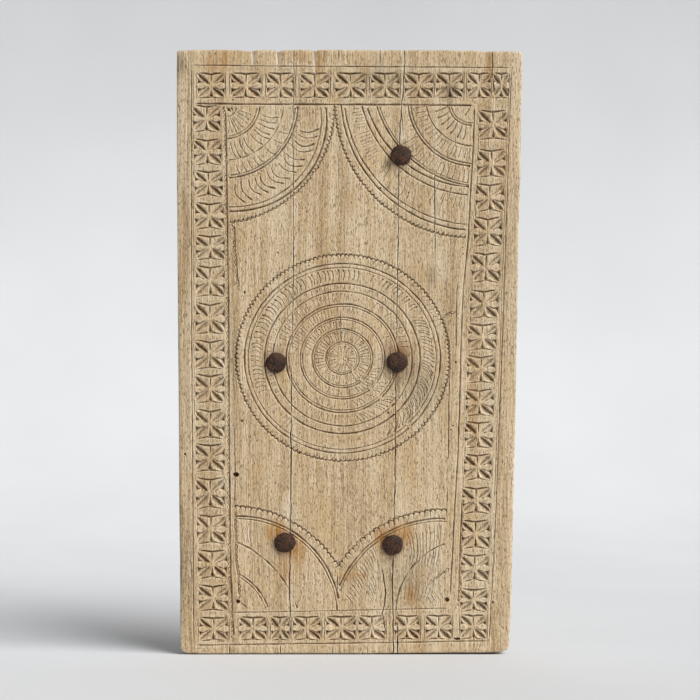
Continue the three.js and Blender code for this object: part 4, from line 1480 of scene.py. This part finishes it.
    def cut_from(self, wood: bpy.types.Object) -> None:
        """Cut the cracks, the dents, the holes and the small pits.

        Args:
            wood: The plank, whose mesh is replaced.
        """
        self._crack(CutterSet("cracks"), self.cracks).cut_from(wood)
        self._crack(CutterSet("late cracks"), self.late_cracks).cut_from(wood)
        self._crack(CutterSet("back cracks"), self.back_cracks, back=True).cut_from(wood)
        dents = CutterSet("dents")
        for path, depth in self.dents:
            dents.groove(path, [depth, depth, depth * 0.7, -0.05], self.dent_tool)
        dents.cut_from(wood)
        holes = CutterSet("holes")
        for x, z, width, height, depth in self.holes:
            holes.hole(x, z, width, height, depth)
        holes.cut_from(wood)
        pits = CutterSet("corner wedges and pits")
        for path, depth in self.wedges:
            pits.groove(path, [-0.05, depth, -0.05], VEINER)
        self._pit(pits)
        pits.cut_from(wood)

    def _crack(self, cuts: CutterSet, cracks: tuple[tuple[Path, float], ...],
               back: bool = False) -> CutterSet:
        """Add cracks to a set.

        Args:
            cuts: The set.
            cracks: The path and the depth of each.
            back: Whether they run down the back of the plank.

        Returns:
            The set.
        """
        for number, (path, depth) in enumerate(cracks):
            places = stepped(path, 5.0)
            shaken = tuple((x + 0.9 * noise.noise(Vector((z / 9, number * 3.1, 0))), z) for x, z in places)
            depths = hand_depths(len(places), depth, number * 5.1, 3, 0.3)
            if abs(path[0][1]) > self.end_of_wood:
                depths[:3] = [depth] * 3
            if abs(path[-1][1]) > self.end_of_wood:
                depths[-3:] = [depth] * 3
            cuts.groove(shaken, depths, self.check_tool, back)
        return cuts

    def _pit(self, cuts: CutterSet) -> None:
        """Scatter small pits over the face, clear of each other and of the wedges."""
        rng = random.Random(29)
        pits, wedges = [], [path[1] for path, _ in self.wedges]
        while len(pits) < self.small_pits:
            x, z, size = rng.uniform(-200, 192), rng.uniform(-355, 355), rng.uniform(0.7, 1.6)
            if all(math.hypot(x - a, z - b) > 6 for a, b in pits + wedges):
                cuts.hole(x, z, size, size * rng.uniform(1, 2.2), rng.uniform(0.5, 1.2), 6)
                pits.append((x, z))


@dataclass(frozen=True)
class Stain:
    """One stain, by its middle and how far it reaches across and along the grain."""

    kind: StainKind
    x: float
    z: float
    width: float
    height: float
    strength: float


STAINS = tuple(Stain(kind, *place) for kind, places in (
    (StainKind.RUST, (
        (-88.0, -11.5, 19, 24, 0.9), (57.0, -12.5, 26, 34, 0.9), (-77.5, -229.0, 19, 22, 0.7),
        (51.5, -234.0, 20, 24, 0.8), (62.0, 235.5, 18, 24, 0.6))),
    (StainKind.OCHRE, (
        (73.3, -291.0, 11, 22, 1.0), (4.0, -268.5, 24, 7, 0.7), (-150.5, 353.0, 9, 24, 0.95),
        (-37.7, 350.0, 8, 34, 0.95), (-162.0, 346.0, 22, 16, 0.4), (-60.0, 356.0, 30, 12, 0.45),
        (0.7, 184.4, 9, 26, 0.6), (190.0, 230.0, 14, 60, 0.35), (150.0, -60.0, 10, 90, 0.3),
        (196.0, -196.0, 10, 14, 0.5), (-86.5, -216.5, 19, 20, 1.25), (-66.0, -237.0, 14, 26, 1.2),
        (63.0, -219.0, 20, 22, 1.2), (39.5, -223.0, 14, 18, 1.0), (-76.0, -262.0, 16, 28, 0.55),
        (63.0, -2.0, 18, 18, 0.7), (-35.0, 20.0, 40, 60, 0.2), (171.0, 345.0, 9, 30, 0.4))),
    (StainKind.SOOT, (
        # The first soot stain, a long strip down the left edge, is painted shade.
        (-200.0, 40.0, 16, 420, 0.3), (99.1, 87.2, 8, 22, 0.7), (-202.0, 344.0, 9, 26, 0.9),
        (121.0, 311.0, 9, 18, 0.9), (48.0, 224.0, 12, 13, 0.8), (87.1, -40.0, 34, 44, 0.4),
        (30.0, 330.0, 60, 20, 0.3), (-138.0, -2.0, 10, 60, 0.35), (70.0, -270.0, 60, 50, 0.3),
        (-206.0, -250.0, 22, 120, 0.5))),
    (StainKind.BLEACH, (
        (-116.4, 353.0, 3.5, 18, 0.95), (-86.4, 350.0, 3.5, 20, 0.95), (-42.4, 346.0, 3.5, 26, 0.9),
        # The bleach stain at x 199, a long strip down the right edge, is painted light.
        (-74.0, -190.0, 6.5, 34, 0.85), (199.0, 60.0, 14, 420, 0.3), (113.0, 99.4, 12, 26, 0.5))),
) for place in places)


@dataclass(frozen=True)
class Swell:
    """A random rise and fall, by the real length of its waves across and along the wood."""

    across: float
    along: float
    seed: float
    height: float

    def at(self, x: float, z: float) -> float:
        """Its height at a place on the face."""
        return noise.noise(Vector((x / self.across, z / self.along, self.seed))) * self.height


@dataclass
class CarvedPlank:
    """The whole plank: blank, carving, damage and the unevenness that age gives the face."""

    blank: PlankBlank
    lines: RuledLines
    border: RosetteBorder
    rings: tuple[RingWork, ...]
    age: AgeMarks
    stains: tuple[Stain, ...]
    face_finish: WeatheredWood
    side_finish: WeatheredWood
    nail_hole: Place = (5.4, 3.6)
    hollow_gain: float = 2.6
    ridge_gain: float = 3.2
    deepest_mark: float = 6.0
    mean_wear: float = 0.42
    wear: tuple[Swell, ...] = (Swell(48, 210, 1.3, 0.45), Swell(13, 90, 7.7, 0.3), Swell(5.5, 26, 4.1, 0.1))
    aside: tuple[Swell, ...] = (Swell(16, 16, 11.0, 0.42), Swell(5, 5, 12.0, 0.2))
    along: tuple[Swell, ...] = (Swell(16, 16, 21.0, 0.42), Swell(5, 5, 22.0, 0.2))
    sharp_angle: float = 32.0

    def _nail_holes(self, wood: bpy.types.Object) -> None:
        """Cut the square holes that the nails' shanks sit in."""
        cuts = CutterSet("nail holes")
        for name in NAIL_NODES:
            middle = middle_of(name)
            cuts.take(square_bar(self.nail_hole[0] * MM, self.nail_hole[1] * MM, BACK_Y - FACE_Y + 2 * MM,
                                 Vector((middle.x, (BACK_Y + FACE_Y) / 2, middle.z))))
        cuts.cut_from(wood)

    def _bends(self, mesh: bpy.types.Mesh, outer: set[int]) -> tuple[list[float], list[float]]:
        """Find the hollows and the ridges of the carved face.

        Args:
            mesh: The plank's mesh.
            outer: The corners that belong to the sides and the back.

        Returns:
            How hollow and how sharply ridged the face is at each corner, from 0 to 1.
        """
        hollow, ridge = [0.0] * len(mesh.vertices), [0.0] * len(mesh.vertices)
        shape = bmesh.new()
        shape.from_mesh(mesh)
        shape.normal_update()
        for vert in shape.verts:
            if vert.index not in outer:
                rises = [(edge.other_vert(vert).co - vert.co).normalized().dot(vert.normal)
                         for edge in vert.link_edges]
                bend = sum(rises) / len(rises)
                hollow[vert.index] = share(self.hollow_gain * bend)
                ridge[vert.index] = share(-self.ridge_gain * bend)
        shape.free()
        return hollow, ridge

    def _mark(self, wood: bpy.types.Object) -> None:
        """Keep on each corner how deep, how hollow and how stained it is, for the wood's finish.

        Args:
            wood: The plank.
        """
        mesh = wood.data
        outer = {corner for face in mesh.polygons if face.material_index == 1 for corner in face.vertices}
        hollow, ridge = self._bends(mesh, outer)
        # Depth and hollowness drive dirt and painted shade in the cuts; the ridge value drives a painted
        # highlight.
        marks = {"cut_depth": [0.0] * len(mesh.vertices), "hollow": hollow, "ridge_highlight": ridge}
        marks.update((name, [0.0] * len(mesh.vertices)) for name in STAIN_NAMES)
        for vert in mesh.vertices:
            x, sunk, z = vert.co.x / MM, (vert.co.y - FACE_Y) / MM, vert.co.z / MM
            if vert.index not in outer:
                marks["cut_depth"][vert.index] = min(max(sunk, 0.0), self.deepest_mark)
            for stain in self.stains:
                near = 1 - math.hypot((x - stain.x) / stain.width, (z - stain.z) / stain.height)
                found = marks[stain.kind.value]
                found[vert.index] = max(found[vert.index], stain.strength * near)
        for name, values in marks.items():
            mesh.attributes.new(name, "FLOAT", "POINT").data.foreach_set("value", values)

    def _age(self, wood: bpy.types.Object) -> None:
        """Let the face rise and fall a little, and take the straightness out of the cuts.

        Args:
            wood: The plank, whose corners are moved.
        """
        boxes = [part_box(name) for name in NAIL_NODES]
        nails = [((low[0] + high[0]) / 2 / MM, (low[2] + high[2]) / 2 / MM) for low, high in boxes]
        for vert in wood.data.vertices:
            x, y, z = vert.co.x / MM, vert.co.y, vert.co.z / MM
            front = share((BACK_Y - y) / (BACK_Y - FACE_Y))
            sunk = self.mean_wear
            for swell in self.wear:
                sunk += swell.at(x, z)
            away = min(math.hypot(x - a, z - b) for a, b in nails)
            sunk *= 0.25 + 0.75 * share((away - 13) / 12)
            for at, width, depth, reach in self.blank.flutes:
                sunk += depth * math.exp(-((x - at) / width) ** 2) * share((z - reach) / 30)
            vert.co.y += max(0.0, sunk) * MM * front
            calm = MM * (share((205 - abs(x)) / 6) * share((360 - abs(z)) / 6))
            vert.co.x += calm * sum(swell.at(x, z) for swell in self.aside)
            vert.co.z += calm * sum(swell.at(x, z) for swell in self.along)

    def build(self) -> bpy.types.Object:
        """Make the carved plank.

        Returns:
            The plank, with two material slots: the carved face, and the sides and back.
        """
        wood = joined_to_scene("plank_wood", self.blank.build())
        for finish in (self.face_finish, self.side_finish):
            wood.data.materials.append(finish.material())
        arcs, nicks, strokes = CutterSet("arcs"), CutterSet("nicks"), CutterSet("strokes")
        for work in self.rings:
            work.cut_arcs(arcs, nicks, strokes)
            work.cut_strokes(strokes)
        for cuts in (strokes, arcs, nicks, self.lines, self.border, self.age):
            cuts.cut_from(wood)
        self._nail_holes(wood)
        self._mark(wood)
        self._age(wood)
        wood.data.set_sharp_from_angle(angle=math.radians(self.sharp_angle))
        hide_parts("plank")
        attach(wood, "root")
        LOG.info("plank: %d triangles", sum(len(face.vertices) - 2 for face in wood.data.polygons))
        return wood


@dataclass
class ForgedNail:
    """One square-shanked nail with a hammered round head."""

    node: str
    seed: int
    burr: float | None = None
    head_radius: float = 13.1
    head_squash: float = 0.95
    head_height: float = 4.45
    rim_height: float = 1.5
    seat_lift: float = 0.05
    shank: Place = (7.0, 4.5)
    tip_inset: float = 1.0
    rim_blows: int = 13
    crown_blows: int = 15
    pitting: float = 0.009
    sharp_angle: float = 24.0

    def _head(self, middle: Vector) -> bmesh.types.BMesh:
        """Hammer a head from a round lump, one flat for each blow.

        Args:
            middle: The middle of the nail.

        Returns:
            The head, as a closed shape in its place.
        """
        rng = random.Random(self.seed)
        head = bmesh.new()
        bmesh.ops.create_uvsphere(head, u_segments=56, v_segments=28, radius=1)
        for vert in head.verts:
            out, turn = vert.co.z, math.degrees(math.atan2(vert.co.y, vert.co.x))
            uneven = noise.noise(Vector((vert.co.x * 1.6, vert.co.y * 1.3, self.seed)))
            reach = self.head_radius * (1 + 0.05 * uneven)
            if self.burr is not None:
                off = abs((turn - self.burr + 180) % 360 - 180)
                reach += 1.0 * max(0.0, 1 - off / 22) ** 1.5
            rise = (self.head_height - self.rim_height) * out ** 0.9 if out > 0 else self.rim_height * out
            vert.co = Vector((vert.co.x * reach, vert.co.y * reach * self.head_squash,
                              self.rim_height + rise))
        blows = [(rng.uniform(0, 360), 86.0, rng.uniform(0.15, 0.75)) for _ in range(self.rim_blows)]
        blows += [(rng.uniform(0, 360), rng.uniform(12, 46), rng.uniform(0.25, 0.6))
                  for _ in range(self.crown_blows)]
        blows.append((rng.uniform(0, 360), rng.uniform(2, 9), 0.3))
        for turn, tilt, bite in blows:
            a, t = math.radians(turn), math.radians(tilt)
            normal = Vector((math.sin(t) * math.cos(a), math.sin(t) * math.sin(a), math.cos(t)))
            limit = max(normal.dot(vert.co) for vert in head.verts) - bite
            for vert in head.verts:
                past = normal.dot(vert.co) - limit
                if past > 0:
                    vert.co -= normal * past
        for vert in head.verts:
            pitted = noise.noise(Vector((vert.co.x / 2.3, vert.co.y / 2.3, self.seed + vert.co.z / 2.3)))
            vert.co *= 1 - self.pitting * (1 + pitted)
            lifted = max(vert.co.z, 0.0)
            vert.co = Vector((middle.x + vert.co.x * MM, FACE_Y - (self.seat_lift + lifted) * MM,
                              middle.z + vert.co.y * MM))
        bmesh.ops.recalc_face_normals(head, faces=head.faces)
        return head

    def _shank(self, middle: Vector) -> bmesh.types.BMesh:
        """Draw out the square shank, thinner towards its tip."""
        start, end = FACE_Y - self.rim_height * MM, BACK_Y - self.tip_inset * MM
        first, last = (side / math.sqrt(2) * MM for side in self.shank)
        return square_bar(first, last, end - start, Vector((middle.x, (start + end) / 2, middle.z)))

    def build(self, iron: bpy.types.Material) -> bpy.types.Object:
        """Make the nail.

        Args:
            iron: Its finish.

        Returns:
            The nail, as one closed shape in its hole.
        """
        middle = middle_of(self.node)
        nail = joined_to_scene(self.node + "_forged", self._head(middle))
        shank = joined_to_scene("shank", self._shank(middle))
        combine(nail, shank, "UNION")
        nail.data.materials.clear()
        nail.data.materials.append(iron)
        for face in nail.data.polygons:
            face.use_smooth = True
        nail.data.set_sharp_from_angle(angle=math.radians(self.sharp_angle))
        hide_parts(self.node)
        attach(nail, "root")
        LOG.info("%s: %d faces", self.node, len(nail.data.polygons))
        return nail


@dataclass
class Studio:
    """A pale paper sweep, a soft key light from the upper right, and the camera."""

    half_width: float = 9.0
    near: float = -7.0
    wall: float = 2.6
    floor: float = -0.3636
    height: float = 6.0
    bend: float = 1.2
    camera_distance: float = 2.4
    frame_width: float = 0.84
    aim: Place = (0.66, 2.04)
    sensor: float = 36.0
    key_power: float = 3.9
    key_spread: float = 44.0
    key_way: tuple[float, float, float] = (-1.6, 1.15, -1.75)
    fill_place: tuple[float, float, float] = (-2.2, -3.0, 0.4)
    fill_size: float = 2.4
    fill_power: float = 7.0
    air: str = "#f2f4f6"
    air_strength: float = 0.15

    def _sweep(self) -> None:
        """Lay a sheet of paper over the floor and up the wall."""
        sheet = bmesh.new()
        bmesh.ops.create_grid(sheet, x_segments=4, y_segments=48, size=1)
        flat = self.wall - self.bend - self.near
        curve = self.bend * math.pi / 2
        whole = flat + curve + self.height - self.bend
        for vert in sheet.verts:
            run = (vert.co.y + 1) / 2 * whole
            if run < flat:
                y, z = self.near + run, self.floor
            elif run < flat + curve:
                a = (run - flat) / self.bend
                y = self.wall - self.bend + self.bend * math.sin(a)
                z = self.floor + self.bend * (1 - math.cos(a))
            else:
                y, z = self.wall, self.floor + self.bend + run - flat - curve
            vert.co = Vector((vert.co.x * self.half_width, y, z))
        for face in sheet.faces:
            face.smooth = True
        bmesh.ops.recalc_face_normals(sheet, faces=sheet.faces)
        paper = joined_to_scene("studio_paper", sheet)
        paper.data.materials.append(self._paper())

    @staticmethod
    def _paper() -> bpy.types.Material:
        """Matt uncoated paper, with a faint mottle."""
        finish, tree, coords = new_finish("matt_studio_paper")
        mottle = Grain(400, 400, 400, 2.0).value(tree, coords)
        colour = add(tree, "ValToRGB", {"Fac": mottle},
                     stops=((0.3, "#d1d3d6"), (0.7, "#d6d8db"))).outputs[0]
        shader = add(tree, "BsdfPrincipled", {"Base Color": colour, "Roughness": 0.95,
                                              "Specular IOR Level": 0.1})
        add(tree, "OutputMaterial", {"Surface": shader.outputs[0]})
        return finish

    def _lights(self) -> None:
        """Set up the key light, the fill that the camera doesn't see, and the air's own light."""
        key = bpy.data.lights.new("key", "SUN")
        key.energy = self.key_power
        key.angle = math.radians(self.key_spread)
        key.color = linear("#fffdfa")[:3]
        sun = bpy.data.objects.new("key", key)
        sun.rotation_euler = Vector(self.key_way).to_track_quat("-Z", "Y").to_euler()
        bpy.context.scene.collection.objects.link(sun)
        fill = bpy.data.lights.new("fill", "AREA")
        fill.shape = "SQUARE"
        fill.size = self.fill_size
        fill.energy = self.fill_power
        fill.color = linear("#f4f7ff")[:3]
        lamp = bpy.data.objects.new("fill", fill)
        lamp.location = self.fill_place
        lamp.rotation_euler = (-Vector(self.fill_place)).to_track_quat("-Z", "Y").to_euler()
        lamp.visible_camera = False
        bpy.context.scene.collection.objects.link(lamp)
        world = bpy.data.worlds.new("studio")
        world.use_nodes = True
        background = world.node_tree.nodes["Background"]
        background.inputs["Color"].default_value = linear(self.air)
        background.inputs["Strength"].default_value = self.air_strength
        bpy.context.scene.world = world

    def _camera(self) -> None:
        """Set up the camera square to the face."""
        lens = bpy.data.cameras.new("camera")
        lens.sensor_width = self.sensor
        lens.lens = self.sensor * (self.camera_distance + FACE_Y) / self.frame_width
        camera = bpy.data.objects.new("camera", lens)
        camera.location = (self.aim[0] * MM, -self.camera_distance, self.aim[1] * MM)
        camera.rotation_euler = (math.pi / 2, 0, 0)
        bpy.context.scene.collection.objects.link(camera)
        bpy.context.scene.camera = camera

    def build(self) -> None:
        """Set up the paper, the lights and the camera."""
        self._sweep()
        self._lights()
        self._camera()
        bpy.context.scene.view_settings.view_transform = "Standard"


def main() -> None:
    """Build the panel piece by piece, then the studio round it."""
    logging.basicConfig(level=logging.INFO, format="%(name)s: %(message)s")
    plank = CarvedPlank(
        PlankBlank(), RuledLines(), RosetteBorder(),
        (MEDALLION, LEFT_TOP_FAN, RIGHT_TOP_FAN, LEFT_FOOT_FAN, RIGHT_FOOT_FAN), AgeMarks(), STAINS,
        WeatheredWood("chip_carved_weathered_hardwood"),
        WeatheredWood("sawn_weathered_hardwood", light="#c2ab88", middle="#a88d69", dark="#7d6346",
                      fine_lines="#5f472f", bump_mm=0.5, pore_share=0.3, ring_mm=4.0, carved=False))
    plank.build()
    iron = RustedIron().material()
    for nail in (ForgedNail("nail_upper_right", 1), ForgedNail("nail_centre_left", 2),
                 ForgedNail("nail_centre_right", 3, burr=5.0), ForgedNail("nail_lower_left", 4),
                 ForgedNail("nail_lower_right", 5, burr=40.0)):
        nail.build(iron)
    Studio().build()


if __name__ == "__main__":
    main()
